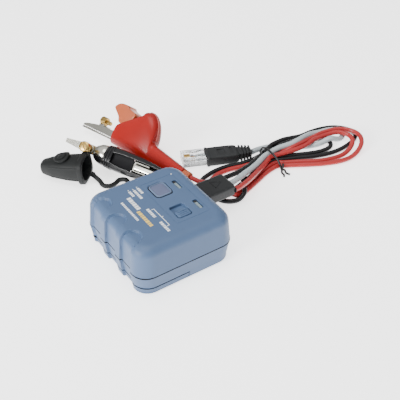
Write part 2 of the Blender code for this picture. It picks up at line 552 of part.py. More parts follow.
def build_clip(prefix, pose, boot_finish, tip_finish):
    """One piercing clip: boot, two jaws, pivot, spring, thumb tip, brass screw and end collar."""
    frame = bpy.data.objects.new(prefix + "_clip_frame", None)
    PARTS.objects.link(frame)
    frame.matrix_world = clip_matrix(pose)
    hinge = bpy.data.objects.new(prefix + "_clip_hinge", None)
    PARTS.objects.link(hinge)
    hinge.parent = frame
    hinge.location = (PIVOT_U * MM, PIVOT_V * MM, 0.0)

    boot = make(prefix + "_boot", loft_shape(boot_rings(pose["boot"], 0.75)), boot_finish)
    cavity = make(prefix + "_cavity_cutter", loft_shape(boot_rings(pose["cavity"], 0.6)), None, cutter=True)
    cut(boot, cavity)
    if pose["slit"]:
        rows = [[(u, v, w) for v, w in ((-9.0, -half), (1.0, -half), (1.0, half), (-9.0, half))]
                for u, half in pose["slit"]]
        slit = make(prefix + "_slit_cutter", loft_shape(rows), None, cutter=True)
        cut(boot, slit)
        slit.parent = frame
    lower = jaw_plate(prefix + "_lower_jaw", ((JAW_TIP_U, -1.9), (JAW_TIP_U, -0.9), (-2.0, 0.1), (30.0, 0.1),
                                              (30.0, -0.9), (-2.0, -0.9)), 3.0, NICKEL)
    ears = [jaw_plate(prefix + "_ear_%d" % side, ((4.0, -0.6), (15.0, -0.6), (13.0, 6.4), (5.0, 6.4)), 0.45, None,
                      cutter=True) for side in (1, 2)]
    for side, ear in zip((-1, 1), ears):
        ear.data.transform(Matrix.Translation((0.0, 0.0, side * 3.6 * MM)))
    shelf = jaw_plate(prefix + "_ear_shelf", ((4.0, -0.8), (15.0, -0.8), (15.0, 0.1), (4.0, 0.1)), 4.05, None,
                      cutter=True)
    pin_hole = rod(prefix + "_pin_hole", 1.3, (PIVOT_U, PIVOT_V, -8.0), (PIVOT_U, PIVOT_V, 8.0), sides=16,
                   cutter=True)
    crimp = rod(prefix + "_crimp", 2.3, (28.0, 1.3, 0.0), (46.0, 1.3, 0.0), sides=14, cutter=True)
    join(lower, shelf, crimp, *ears)
    cut(lower, pin_hole)
    upper = jaw_plate(prefix + "_upper_jaw", ((JAW_TIP_U, -0.5), (JAW_TIP_U, 0.9), (-17.0, 4.0), (-2.0, 5.2),
                                              *pose["lever"], (12.4, 8.2), (12.4, 1.4), (-1.0, 0.6),
                                              (-16.0, 0.4)), 2.4, NICKEL)
    channel = jaw_plate(prefix + "_channel_cutter", ((JAW_TIP_U + 2.5, -3.0), (JAW_TIP_U + 2.5, 0.4), (-17.0, 3.2),
                                                     (-2.0, 4.4), (6.0, 6.9), (14.0, 6.9), (14.0, -3.0)), 1.7,
                        None, cutter=True)
    cut(upper, channel, pin_hole)
    spring = rod(prefix + "_jaw_spring", 1.55 + 0.9, (PIVOT_U, PIVOT_V, -1.3), (PIVOT_U, PIVOT_V, 1.3), STEEL,
                 sides=14)
    cut(spring, pin_hole)
    pin = rod(prefix + "_pivot_pin", 1.0, (PIVOT_U, PIVOT_V, -4.6), (PIVOT_U, PIVOT_V, 4.6), STEEL, sides=12)
    tip = jaw_plate(prefix + "_thumb_tip", pose["tip"], 4.9, tip_finish)
    rounding = tip.modifiers.new("rounding", "BEVEL")
    rounding.width = 1.0 * MM
    rounding.segments = 2
    lever_slot = jaw_plate(prefix + "_lever_slot", pose["tip_slot"], 2.75, None, cutter=True)
    cut(tip, lever_slot)
    screw_start, screw_end = pose["screw"]
    screw = rod(prefix + "_terminal_screw", 2.7, screw_start, screw_end, BRASS, sides=16)
    collar = rod(prefix + "_end_collar", 3.1, (62.3, 1.4, 0.0), (67.6, 1.4, 0.0), tip_finish, sides=16,
                 end_radius=2.7)
    for piece in (boot, lower, pin, collar, spring, cavity, pin_hole, channel, lever_slot, shelf, crimp,
                  *ears):
        piece.parent = frame
    for piece in (upper, tip, screw):
        piece.data.transform(Matrix.Translation((-PIVOT_U * MM, -PIVOT_V * MM, 0.0)))
        piece.parent = hinge
    return frame


def build_jaw_cover():
    """Hollow rubber cover, open at one end, with its strap."""
    start, end = Vector(COVER_OPEN), Vector(COVER_TIP)
    along = (end - start).normalized()
    length = (end - start).length
    side = along.cross(Vector((0.0, 0.0, 1.0))).normalized()
    rise = side.cross(along)
    stations = ((0.0, 10.0, 8.6), (2.2, 10.2, 8.8), (2.6, 9.0, 7.7), (12.0, 8.4, 7.2), (22.0, 6.6, 6.0),
                (length - 2.0, 4.8, 4.7), (length, 3.4, 3.4))
    hollow_stations = ((-1.0, 8.4, 7.0), (2.6, 8.0, 6.7), (12.0, 7.2, 6.0), (22.0, 5.4, 4.8),
                       (length - 3.0, 3.4, 3.3))

    def rings(rows):
        made = []
        for distance, half_side, half_rise in rows:
            centre = start + along * distance
            made.append([tuple(centre + side * (half_side * math.cos(a)) + rise * (half_rise * math.sin(a)))
                         for a in (math.tau * i / 16 for i in range(16))])
        return made

    cover = make("jaw_cover", loft_shape(rings(stations)), RUBBER)
    cut(cover, make("jaw_cover_hollow", loft_shape(rings(hollow_stations)), None, cutter=True))
    strap = tube("cover_strap", smooth_route(COVER_STRAP, 2.5, 5.0), 2.6, RUBBER)
    return cover, strap


COVER_STRAP = ((-76.4, -2.0, 4.2), (-73.4, -1.2, 3.4), (-70.2, -0.4, 2.4), (-66.2, -0.2, 1.5), (-63.6, 2.4, 1.5),
               (-63.8, 6.6, 1.5), (-65.2, 10.4, 1.9), (-63.0, 13.4, 2.4), (-59.8, 13.6, 2.2), (-57.2, 11.6, 1.6))


# --- plug ----------------------------------------------------------------------------------------------------

def build_plug():
    """Clear modular plug with its contacts and latch, and the boot behind it."""
    frame = bpy.data.objects.new("plug_frame", None)
    PARTS.objects.link(frame)
    frame.location = (PLUG_AT[0] * MM, PLUG_AT[1] * MM, 0.0)
    frame.rotation_euler = (0.0, 0.0, math.radians(PLUG_HEADING))
    mid_z = BOOT_H / 2 + GAP
    body_z = PLUG_LOW_Z + PLUG_H / 2
    body_top = PLUG_LOW_Z + PLUG_H
    body = box("plug_body", (PLUG_L, PLUG_W, PLUG_H), (-PLUG_L / 2 - GAP, 0.0, body_z), CLEAR, bevel=0.3, segments=1)
    recess = box("plug_contact_cutter", (4.8, 5.2, 2.4), (-12.0, 0.0, body_top - 0.2), cutter=True)
    cut(body, recess)
    contacts = box("plug_contacts", (4.2, 4.3, 0.8), (-12.0, 0.0, body_top - 0.7), GOLD)
    for index in (-1, 0, 1):
        slot = box("contact_slot_%d" % (index + 2), (4.8, 0.45, 0.8), (-12.0, index * 1.02, body_top - 0.3),
                   cutter=True)
        cut(contacts, slot)
        slot.parent = frame
    latch_top = PLUG_LOW_Z - GAP
    profile = ((-15.1, latch_top - 0.8), (-15.1, latch_top), (-2.4, GAP + 0.65), (-2.4, GAP))
    latch = make("plug_latch", loft_shape([[(x, half, z) for x, z in profile] for half in (-2.9, 2.9)]), CLEAR)
    boot_rows = ((GAP, BOOT_W / 2, BOOT_H / 2), (BOOT_L - 1.0, BOOT_W / 2, BOOT_H / 2),
                 (BOOT_L, BOOT_W / 2 - 0.8, BOOT_H / 2 - 0.8))
    rings = [[(x, y, mid_z + z) for y, z in rounded_outline(half_y, half_z, 1.2, 2)] for x, half_y, half_z in boot_rows]
    x = BOOT_L
    for index in range(4):
        for distance, grow in ((0.4, -0.9), (1.0, -0.9), (1.2, 0.0), (2.0, 0.0)):
            half_y = 5.4 - index * 0.35 + grow
            half_z = 3.4 - index * 0.12 + grow * 0.8
            rings.append([(x + distance, y, mid_z + z) for y, z in rounded_outline(half_y, half_z, 1.2, 2)])
        x += TAIL_L / 4
    boot = make("plug_boot", loft_shape(rings), RUBBER)
    for piece in (body, recess, contacts, latch, boot):
        piece.parent = frame
    return frame


# --- leads ---------------------------------------------------------------------------------------------------

def build_leads():
    tube("black_lead", smooth_route(BLACK_ROUTE), LEAD_D, RUBBER)
    tube("red_lead", smooth_route(RED_ROUTE), LEAD_D, RED)
    tube("modular_cable", smooth_route(CABLE_ROUTE), CABLE_D, CABLE_GREY)


def build_twist_tie():
    """Wire tie around the bundle, with its twisted ends."""
    height, left, right = 7.8, -41.0, -19.4
    loop = [(left + 0.2, 103.0, 1.4), (left + 0.8, 103.0, 4.0), (-38.6, 103.0, 6.6), (-34.6, 103.0, height + 0.2),
            (-30.0, 103.0, height), (-26.0, 103.0, 6.9), (-22.0, 103.0, 5.0), (right - 0.3, 103.0, 2.8),
            (right + 0.2, 103.4, 0.7)]
    tail = [(-17.4, 104.6, 0.7), (-14.4, 103.4, 0.7), (-11.8, 104.4, 0.7)]
    return tube("twist_tie", smooth_route(loop + tail, 1.5, 3.0), 1.1, DARK)


# --- build ---------------------------------------------------------------------------------------------------

clear_scene()
PARTS = new_collection("cable_tone_generator")
CUTTERS = new_collection("cutters")
BLUE = material("blue_plastic", (0.17, 0.26, 0.41), 0.45)
LILAC = material("lilac_plastic", (0.23, 0.26, 0.36), 0.5)
DARK = material("dark_plastic", (0.02, 0.02, 0.02), 0.5)
RUBBER = material("black_rubber", (0.045, 0.05, 0.05), 0.6)
RED = material("red_vinyl", (0.58, 0.07, 0.06), 0.45)
ORANGE = material("orange_plastic", (0.7, 0.24, 0.12), 0.35)
CABLE_GREY = material("grey_vinyl", (0.6, 0.65, 0.68), 0.45)
CLEAR = material("clear_plastic", (0.75, 0.78, 0.8), 0.1)
LIGHT = material("light_plastic", (0.6, 0.15, 0.1), 0.2)
BOARD_GREEN = material("board_green", (0.03, 0.2, 0.09), 0.5)
NICKEL = material("nickel", (0.72, 0.7, 0.64), 0.3, 1.0)
STEEL = material("steel", (0.6, 0.6, 0.6), 0.3, 1.0)
BRASS = material("brass", (0.72, 0.5, 0.2), 0.3, 1.0)
GOLD = material("gold", (0.8, 0.55, 0.2), 0.25, 1.0)
GREY_METAL = material("grey_metal", (0.4, 0.42, 0.45), 0.35, 1.0)

groove_cutters = finger_grooves()
build_top_cover(groove_cutters)
build_bottom_cover(groove_cutters)
build_battery_door(groove_cutters)
build_controls()
build_inside()
build_strain_relief()
build_clip("red", RED_CLIP, RED, ORANGE)
build_clip("black", BLACK_CLIP, RUBBER, DARK)
build_jaw_cover()
build_plug()
build_leads()
build_twist_tie()
bpy.context.view_layer.update()
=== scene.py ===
"""Cable tone generator with test leads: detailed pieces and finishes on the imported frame."""
from math import copysign, cos, hypot, pi, radians, sin, tau

import bmesh
import bpy
from mathutils import Matrix, Vector


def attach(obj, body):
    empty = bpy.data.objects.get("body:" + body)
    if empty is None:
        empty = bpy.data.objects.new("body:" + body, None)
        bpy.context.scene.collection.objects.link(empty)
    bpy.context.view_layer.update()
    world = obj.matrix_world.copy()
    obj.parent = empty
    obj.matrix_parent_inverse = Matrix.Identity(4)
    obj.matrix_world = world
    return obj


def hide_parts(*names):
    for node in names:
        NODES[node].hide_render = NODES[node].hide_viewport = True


MM = 0.001
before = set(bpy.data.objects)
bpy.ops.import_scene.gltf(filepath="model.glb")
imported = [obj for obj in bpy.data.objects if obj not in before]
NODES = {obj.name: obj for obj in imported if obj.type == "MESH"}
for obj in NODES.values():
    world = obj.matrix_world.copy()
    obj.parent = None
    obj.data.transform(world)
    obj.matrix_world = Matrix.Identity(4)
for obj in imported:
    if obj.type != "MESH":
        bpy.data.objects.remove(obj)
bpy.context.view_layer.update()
SCENE = bpy.context.scene


# --- camera, lights and floor ---

CAMERA_TURN = (55.64, 38.3, 0.44)        # azimuth, elevation and roll, degrees
CAMERA_TARGET, CAMERA_DISTANCE, CAMERA_LENS = (-0.02251, 0.04249, 0), 0.42825, 63.41
LIGHT_AIM = Vector((-0.02, 0.04, 0.01))
WHITE = (1, 1, 1, 1)
WORLD_SPAN = (0.05, 0.75, 0.08, 1.1)     # heights from and to, and the strengths there
FLOOR_HALF, FLOOR_Z, FLOOR_GLOW = 4, -0.0001, 1.8


def placed(name, data):
    item = bpy.data.objects.new(name, data)
    SCENE.collection.objects.link(item)
    return item


def add_camera():
    a, e, r = map(radians, CAMERA_TURN)
    back = Vector((sin(a) * cos(e), -cos(a) * cos(e), sin(e)))
    right = Vector((cos(a), sin(a), 0))
    up = back.cross(right)
    side = right * cos(r) + up * sin(r)
    top = up * cos(r) - right * sin(r)
    turn = Matrix((side, top, back)).transposed().to_4x4()
    turn.translation = Vector(CAMERA_TARGET) + back * CAMERA_DISTANCE
    data = bpy.data.cameras.new("camera")
    data.lens = CAMERA_LENS
    data.sensor_width = 36
    data.clip_start = 0.01
    data.clip_end = 20
    camera = placed("camera", data)
    camera.matrix_world = turn
    SCENE.camera = camera


def add_area(name, at, size, power):
    data = bpy.data.lights.new(name, "AREA")
    data.shape = "DISK"
    data.size = size
    data.energy = power
    light = placed(name, data)
    light.location = at
    light.rotation_euler = (LIGHT_AIM - Vector(at)).to_track_quat("-Z", "Y").to_euler()


def add_node(tree, kind, values=()):
    node = tree.nodes.new("ShaderNode" + kind)
    for key, value in values:
        node.inputs[key].default_value = value
    return node


def add_studio():
    """A world that is darker low down, two soft lights and a white floor."""
    world = bpy.data.worlds.new("studio")
    world.use_nodes = True
    tree = world.node_tree
    place = add_node(tree, "TexCoord")
    parts = add_node(tree, "SeparateXYZ")
    span = add_node(tree, "MapRange", zip(("From Min", "From Max", "To Min", "To Max"), WORLD_SPAN))
    tree.links.new(place.outputs["Generated"], parts.inputs["Vector"])
    tree.links.new(parts.outputs["Z"], span.inputs["Value"])
    tree.links.new(span.outputs["Result"], tree.nodes["Background"].inputs["Strength"])
    tree.nodes["Background"].inputs["Color"].default_value = WHITE
    SCENE.world = world
    add_area("key", (0.1, -1.1, 0.5), 0.5, 20)
    add_area("fill", (0, -0.1, 1.3), 0.9, 9)
    shape = bmesh.new()
    bmesh.ops.create_grid(shape, x_segments=1, y_segments=1, size=FLOOR_HALF)
    mesh = bpy.data.meshes.new("floor")
    shape.to_mesh(mesh)
    shape.free()
    floor = placed("floor", mesh)
    floor.location.z = FLOOR_Z
    paper = finish("floor_paper", (0.97, 0.97, 0.97), 0.9, mottle=0.01, bump=0)
    glow = paper.node_tree.nodes["Principled BSDF"]
    glow.inputs["Emission Color"].default_value = WHITE
    glow.inputs["Emission Strength"].default_value = FLOOR_GLOW
    mesh.materials.append(paper)


# --- finishes ---

def finish(name, colour, rough, metallic=0, mottle=0.1, mottle_scale=120, grain=2600, bump=0.12,
           rough_spread=0.07, gloss=0.5, clear=0):
    """A material whose colour, roughness and surface vary in its nodes."""
    made = bpy.data.materials.new(name)
    made.use_nodes = True
    tree = made.node_tree
    shader = tree.nodes["Principled BSDF"]
    place = add_node(tree, "TexCoord")

    def noise(scale, detail):
        node = add_node(tree, "TexNoise", (("Scale", scale), ("Detail", detail)))
        tree.links.new(place.outputs["Object"], node.inputs["Vector"])
        return node.outputs["Fac"]

    broad, fine = noise(mottle_scale, 4), noise(grain, 2)
    blend = tree.nodes.new("ShaderNodeMix")
    blend.data_type = "RGBA"
    blend.inputs[6].default_value = (*(c * (1 - mottle) for c in colour), 1)
    blend.inputs[7].default_value = (*(min(c * (1 + mottle), 1) for c in colour), 1)
    tree.links.new(broad, blend.inputs[0])
    tree.links.new(blend.outputs[2], shader.inputs["Base Color"])
    span = add_node(tree, "MapRange", (("To Min", max(rough - rough_spread, 0.02)),
                                       ("To Max", min(rough + rough_spread, 1))))
    tree.links.new(fine, span.inputs["Value"])
    tree.links.new(span.outputs["Result"], shader.inputs["Roughness"])
    if bump:
        relief = add_node(tree, "Bump", (("Strength", bump), ("Distance", 0.0001)))
        tree.links.new(fine, relief.inputs["Height"])
        tree.links.new(relief.outputs["Normal"], shader.inputs["Normal"])
    shader.inputs["Metallic"].default_value = metallic
    shader.inputs["Specular IOR Level"].default_value = gloss
    shader.inputs["Transmission Weight"].default_value = clear
    return made


add_camera()
add_studio()

BLUE = finish("blue_plastic", (0.066, 0.112, 0.205), 0.45, mottle=0.05, bump=0.35, grain=3200, gloss=0.3)
LILAC = finish("lilac_plastic", (0.10, 0.118, 0.20), 0.5, mottle=0.05, bump=0.3, gloss=0.3)
RIM = finish("lilac_rim", (0.12, 0.17, 0.27), 0.4, mottle=0.05, gloss=0.3)
DARK = finish("dark_plastic", (0.010, 0.010, 0.011), 0.3, mottle=0.25, gloss=0.4)
RUBBER = finish("black_rubber", (0.016, 0.017, 0.018), 0.55, mottle=0.25, bump=0.3, rough_spread=0.1,
                gloss=0.3)
COVER_RUBBER = finish("cover_rubber", (0.009, 0.010, 0.010), 0.55, mottle=0.25, bump=0.25, gloss=0.2)
FLAT_BLACK = finish("flat_black", (0.004, 0.004, 0.005), 0.6, mottle=0.3, gloss=0.12)
LEAD_BLACK = finish("black_vinyl", (0.007, 0.007, 0.008), 0.24, mottle=0.25, bump=0.03, gloss=0.3)
RED = finish("red_vinyl", (0.29, 0.012, 0.009), 0.24, mottle=0.12, rough_spread=0.05, gloss=0.22)
RED_LEAD = finish("red_lead_vinyl", (0.36, 0.022, 0.022), 0.33, bump=0.04, gloss=0.4)
# a paler red for the slit lips: painted highlight
RED_LIP_HIGHLIGHT = finish("red_vinyl_lip_highlight", (0.42, 0.08, 0.065), 0.4, bump=0.2)
ORANGE = finish("orange_plastic", (0.42, 0.09, 0.03), 0.32, bump=0.1)
GREY = finish("grey_vinyl", (0.42, 0.47, 0.49), 0.4, mottle=0.05, bump=0.04)
CLEAR = finish("clear_plastic", (0.88, 0.90, 0.91), 0.09, mottle=0.02, bump=0.04, rough_spread=0.04, clear=0.9)
LENS = finish("lens_plastic", (0.20, 0.26, 0.29), 0.25, mottle=0.08)
LIGHT = finish("light_plastic", (0.6, 0.12, 0.08), 0.2, clear=0.4)
GREEN = finish("board_green", (0.02, 0.15, 0.06), 0.4, mottle=0.2, mottle_scale=500)
NICKEL = finish("nickel", (0.56, 0.55, 0.49), 0.2, metallic=1, mottle=0.12, rough_spread=0.1)
STEEL = finish("steel", (0.52, 0.52, 0.52), 0.28, metallic=1, mottle=0.15)
BRASS = finish("brass", (0.46, 0.31, 0.10), 0.28, metallic=1, mottle=0.14, rough_spread=0.1)
GOLD = finish("gold", (0.85, 0.60, 0.25), 0.22, metallic=1)
GREY_METAL = finish("grey_metal", (0.4, 0.42, 0.45), 0.35, metallic=1)
WHITE_INK = finish("white_ink", (0.78, 0.80, 0.82), 0.5, mottle=0.05, bump=0.05)
YELLOW_INK = finish("yellow_ink", (0.74, 0.52, 0.12), 0.5, mottle=0.08, bump=0.05)
SLOTS = {made.name.split(".")[0]: made for made in (
    BLUE, LILAC, DARK, RUBBER, RED, ORANGE, GREY, CLEAR, LIGHT, GREEN, NICKEL, STEEL, BRASS, GOLD, GREY_METAL)}


# --- mesh helpers (millimetres) ---

def solid(name, shape, material=None, matrix=None):
    """Turn a bmesh in millimetres into an object in metres, moved by a matrix in metres."""
    bmesh.ops.recalc_face_normals(shape, faces=shape.faces)
    bmesh.ops.scale(shape, vec=(MM,) * 3, verts=shape.verts)
    if matrix is not None:
        shape.transform(matrix)
    mesh = bpy.data.meshes.new(name)
    shape.to_mesh(mesh)
    shape.free()
    if material is not None:
        mesh.materials.append(material)
    return placed(name, mesh)


def evaluated_mesh(item):
    depsgraph = bpy.context.evaluated_depsgraph_get()
    depsgraph.update()
    return bpy.data.meshes.new_from_object(item.evaluated_get(depsgraph))


def settle(item):
    """Apply the item's modifiers."""
    mesh, old = evaluated_mesh(item), item.data
    item.modifiers.clear()
    item.data = mesh
    bpy.data.meshes.remove(old)


def carve(item, *cutters, add=False):
    """Take the cutters out of the item, or add them to it."""
    for cutter in cutters:
        step = item.modifiers.new("carve", "BOOLEAN")
        step.operation = "UNION" if add else "DIFFERENCE"
        step.solver = "EXACT"
        step.object = cutter
    settle(item)
    for cutter in cutters:
        bpy.data.objects.remove(cutter, do_unlink=True)


def soften(item, width, segments=3, degrees=30):
    """Round the item's sharp edges."""
    step = item.modifiers.new("soften", "BEVEL")
    step.width = width * MM
    step.segments = segments
    step.limit_method = "ANGLE"
    step.angle_limit = radians(degrees)
    settle(item)


def piece(item, slot, *nodes, body="housing", degrees=35):
    """Shade the item, hang it on its body and hide the CAD nodes it stands for; the slot is not used."""
    if item.type == "MESH":
        for face in item.data.polygons:
            face.use_smooth = True
        item.data.set_sharp_from_angle(angle=radians(degrees))
    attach(item, body)
    if nodes:
        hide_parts(*nodes)


def loft(rings, closed=False):
    """A grid through rings with the same number of points, back to the first one if closed."""
    shape = bmesh.new()
    rows = [[shape.verts.new(point) for point in ring] for ring in rings]
    count = len(rows[0])
    for low, high in zip(rows, rows[1:] + rows[:1] if closed else rows[1:]):
        for i in range(count):
            j = (i + 1) % count
            shape.faces.new((low[i], low[j], high[j], high[i]))
    if not closed:
        shape.faces.new(reversed(rows[0]))
        shape.faces.new(rows[-1])
    return shape


def joined(*shapes):
    """One bmesh holding several."""
    whole = bmesh.new()
    for shape in shapes:
        mesh = bpy.data.meshes.new("part")
        shape.to_mesh(mesh)
        shape.free()
        whole.from_mesh(mesh)
        bpy.data.meshes.remove(mesh)
    return whole


def rounded(half_x, half_y, radius, steps=6):
    """Points of a rectangle with round corners, anticlockwise."""
    radius = min(radius, half_x, half_y)
    points = []
    for quarter, (sx, sy) in enumerate(((1, 1), (-1, 1), (-1, -1), (1, -1))):
        for step in range(steps + 1):
            angle = pi / 2 * (quarter + step / steps)
            points.append((sx * (half_x - radius) + radius * cos(angle),
                           sy * (half_y - radius) + radius * sin(angle)))
    return points


def slab(levels, centre=(0, 0)):
    """A loft along Z from (z, half x, half y, corner radius) levels."""
    return loft([[(centre[0] + x, centre[1] + y, z) for x, y in rounded(half_x, half_y, radius)]
                 for z, half_x, half_y, radius in levels])


def pillow(low_z, high_z, half_x, half_y, radius, edge, centre, turns=4):
    """A rounded block whose top and bottom edges are rounded by edge."""
    angles = [pi / 2 * k / turns for k in range(turns + 1)]
    levels = [(low_z + edge * (1 - cos(a)), edge * (1 - sin(a))) for a in angles]
    levels += [(high_z - edge * (1 - sin(a)), edge * (1 - cos(a))) for a in angles]
    return slab([(z, half_x - drawn, half_y - drawn, max(radius - drawn, 0.15)) for z, drawn in levels],
                centre)


def block(size, at):
    shape = bmesh.new()
    bmesh.ops.create_cube(shape, size=1)
    bmesh.ops.scale(shape, vec=size, verts=shape.verts)
    return moved(shape, at)


def moved(shape, by):
    bmesh.ops.translate(shape, vec=by, verts=shape.verts)
    return shape


def turned(profile, start, axis, sides=24, knurl=0):
    """A solid of revolution: (distance, radius) rows along an axis, with knurling where a row has a mark."""
    start, axis = Vector(start), Vector(axis).normalized()
    first = axis.orthogonal().normalized()
    second = axis.cross(first)
    rings = []
    for distance, radius, *mark in profile:
        ring = []
        for i in range(sides):
            a = tau * i / sides
            r = radius - (knurl if mark and i % 2 else 0)
            ring.append(start + axis * distance + (first * cos(a) + second * sin(a)) * r)
        rings.append(ring)
    return loft(rings)


def rod(radius, length, start, axis, sides=24):
    return turned(((0, radius), (length, radius)), start, axis, sides)


def circle(x, y, radius, count=12):
    return [(x + radius * cos(tau * k / count), y + radius * sin(tau * k / count))
            for k in range(count)]


def eased(rows, steps):
    """More rows between the given ones, on a Catmull-Rom curve through each column."""
    made = []
    for i in range(len(rows) - 1):
        p0, p1, p2 = rows[max(i - 1, 0)], rows[i], rows[i + 1]
        p3 = rows[min(i + 2, len(rows) - 1)]
        for k in range(steps):
            t = k / steps
            made.append(tuple(0.5 * (2 * b + (c - a) * t + (2 * a - 5 * b + 4 * c - d) * t * t
                                     + (3 * b - a - 3 * c + d) * t ** 3)
                              for a, b, c, d in zip(p0, p1, p2, p3)))
    made.append(tuple(rows[-1]))
    return made


def routed(route, spacing=1.3):
    """Evenly spaced points on a Catmull-Rom curve through the route."""
    dense = eased(route, 16)
    points, gone, target = [Vector(dense[0])], 0, spacing
    for low, high in zip(dense, dense[1:]):
        low, high = Vector(low), Vector(high)
        step = (high - low).length
        while gone + step >= target and step > 0:
            points.append(low.lerp(high, (target - gone) / step))
            target += spacing
        gone += step
    end = Vector(dense[-1])
    if (points[-1] - end).length < spacing * 0.4:
        points[-1] = end
    else:
        points.append(end)
    return points


def wire(name, points, diameter, material, matrix=None, resolution=3):
    """A round curve through points in millimetres."""
    data = bpy.data.curves.new(name, "CURVE")
    data.dimensions = "3D"
    data.bevel_depth = diameter / 2 * MM
    data.bevel_resolution = resolution
    data.use_fill_caps = True
    spline = data.splines.new("POLY")
    spline.points.add(len(points) - 1)
    spline.use_smooth = True
    for knot, point in zip(spline.points, points):
        place = Vector(point) * MM
        if matrix is not None:
            place = matrix @ place
        knot.co = (*place, 1)
    data.materials.append(material)
    return placed(name, data)


def strand(name, points, diameter, material, slot, *nodes, matrix=None, resolution=3):
    """A wire made into a mesh piece."""
    item = wire(name, points, diameter, material, matrix, resolution)
    mesh, name = evaluated_mesh(item), item.name
    bpy.data.objects.remove(item, do_unlink=True)
    piece(placed(name, mesh), slot, *nodes, degrees=60)


# --- housing ---

CASE_X, CASE_Y, CASE_H = 62, 60, 30.5
SEAM_Z, GAP = 12.9, 0.3
FLOOR_INSET, ROOF_INSET, ROOF_FILLET, FLOOR_FILLET = 1.5, 0.9, 5.6, 1.4
CORNER_R, WALL, FRONT_WALL, RIM_BEVEL = 9, 1.8, 3.4, 0.25
GROOVE_DEPTH, GROOVE_HALF, GROOVE_X = 1.4, 5.45, (-17.3, -1.2, 14.9)
GROOVE_ARCH_Y, GROOVE_ARCH = -25.6, 6.2
GROOVE_MAX_Y, GROOVE_MAX_X = -15, 24
CORNERS = ((1, -1, -90, 16), (1, 1, 0, 16), (-1, 1, 90, 16), (-1, -1, 180, 170))  # signs, angle, points after
DOOR_H, DOOR_BACK_Y = 4.5, 0
BUTTON_AT, BUTTON_HALF = (-10.5, 7.8), (5.75, 4.85)
SLIDE_AT, SLIDE_WELL, WELL_FLOOR = (11, 7.3), (10.6, 8.8, 3), 1.7
KNOB_X, KNOB_HALF = 13.3, (2.6, 4)
LIGHT_Y, LIGHT_X, LIGHT_HALF = 18, (-9.4, 11.3), (3.7, 1.1)
RELIEF_X, RELIEF_Z, RELIEF_HALF = -11, 14.2, (7.75, 4.2)


def ease(value, low, high):
    t = min(max((value - low) / (high - low), 0), 1)
    return t * t * (3 - 2 * t)


def groove_depth(x, y, on_roof):
    """How deep the finger grooves are at a place on the front face or the roof."""
    depth = 0
    for middle in GROOVE_X:
        across = abs(x - middle) / GROOVE_HALF
        ahead = max(y - GROOVE_ARCH_Y, 0) / GROOVE_ARCH if on_roof else 0
        inside = (1 - hypot(across, ahead)) * GROOVE_HALF
        depth = max(depth, ease(inside, -0.1, 0.32))
    return depth * GROOVE_DEPTH


def case_ring(z, inset, radius, lean):
    """One ring of the case; lean turns the grooves from wall (0) to roof (90), None leaves them out."""
    half_x, half_y = CASE_X / 2 - inset, CASE_Y / 2 - inset
    radius = min(radius, half_x - 0.3, half_y - 0.3)

    def corner(sx, sy, degrees):
        a = radians(degrees)
        return sx * (half_x - radius) + radius * cos(a), sy * (half_y - radius) + radius * sin(a)

    points = []
    for index, (sx, sy, turn, count) in enumerate(CORNERS):
        points += [corner(sx, sy, turn + 9 * k) for k in range(11)]
        (x0, y0), (x1, y1) = points[-1], corner(*CORNERS[(index + 1) % 4][:3])
        points += [(x0 + (x1 - x0) * k / count, y0 + (y1 - y0) * k / count) for k in range(1, count)]
    ring = []
    for x, y in points:
        grooved = lean is not None and y < GROOVE_MAX_Y and abs(x) < GROOVE_MAX_X
        depth, turn = (groove_depth(x, y, lean > 0), radians(lean)) if grooved else (0, 0)
        ring.append((x, y + depth * cos(turn), z - depth * sin(turn)))
    return ring


def inner_ring(z, inset, radius):
    """A ring of the inside of the case, whose front wall is thicker."""
    half_y = CASE_Y / 2 - WALL
    return [(x, y + (FRONT_WALL - WALL) / 2 * (1 - y / half_y), z)
            for x, y, z in case_ring(z, inset, radius, None)]


def upper_shell():
    rings = [case_ring(CASE_H, inset, max(2, 5.75 - (inset - 6.5) * 0.4), 90)
             for inset in (27, 20, 16, 13.6, *(13 - 0.3 * k for k in range(22)))]
    for step in range(13):
        lean = 90 - 7.5 * step
        a = radians(lean)
        drawn = ROOF_INSET + ROOF_FILLET * (1 - cos(a))
        rings.append(case_ring(CASE_H - ROOF_FILLET * (1 - sin(a)), drawn, CORNER_R - drawn / 2, lean))
    top_z, low_z = CASE_H - ROOF_FILLET, SEAM_Z + GAP / 2
    for step in range(1, 7):
        share = step / 6
        rings.append(case_ring(top_z + (low_z + RIM_BEVEL - top_z) * share, ROOF_INSET * (1 - share),
                               CORNER_R - ROOF_INSET / 2 * (1 - share), 0))
    rings.append(case_ring(low_z, RIM_BEVEL, CORNER_R - 0.1, 0))
    inside = WALL + ROOF_INSET
    return loft(rings + [inner_ring(z, inset, radius) for z, inset, radius in (
        (low_z, WALL, CORNER_R - WALL), (CASE_H - 7.4, inside, CORNER_R - WALL - 0.5),
        (CASE_H - 3.4, inside + 1.1, CORNER_R - WALL - 1),
        (CASE_H - WALL, inside + 3.8, CORNER_R - WALL - 2.4), (CASE_H - WALL, 20, 4))])


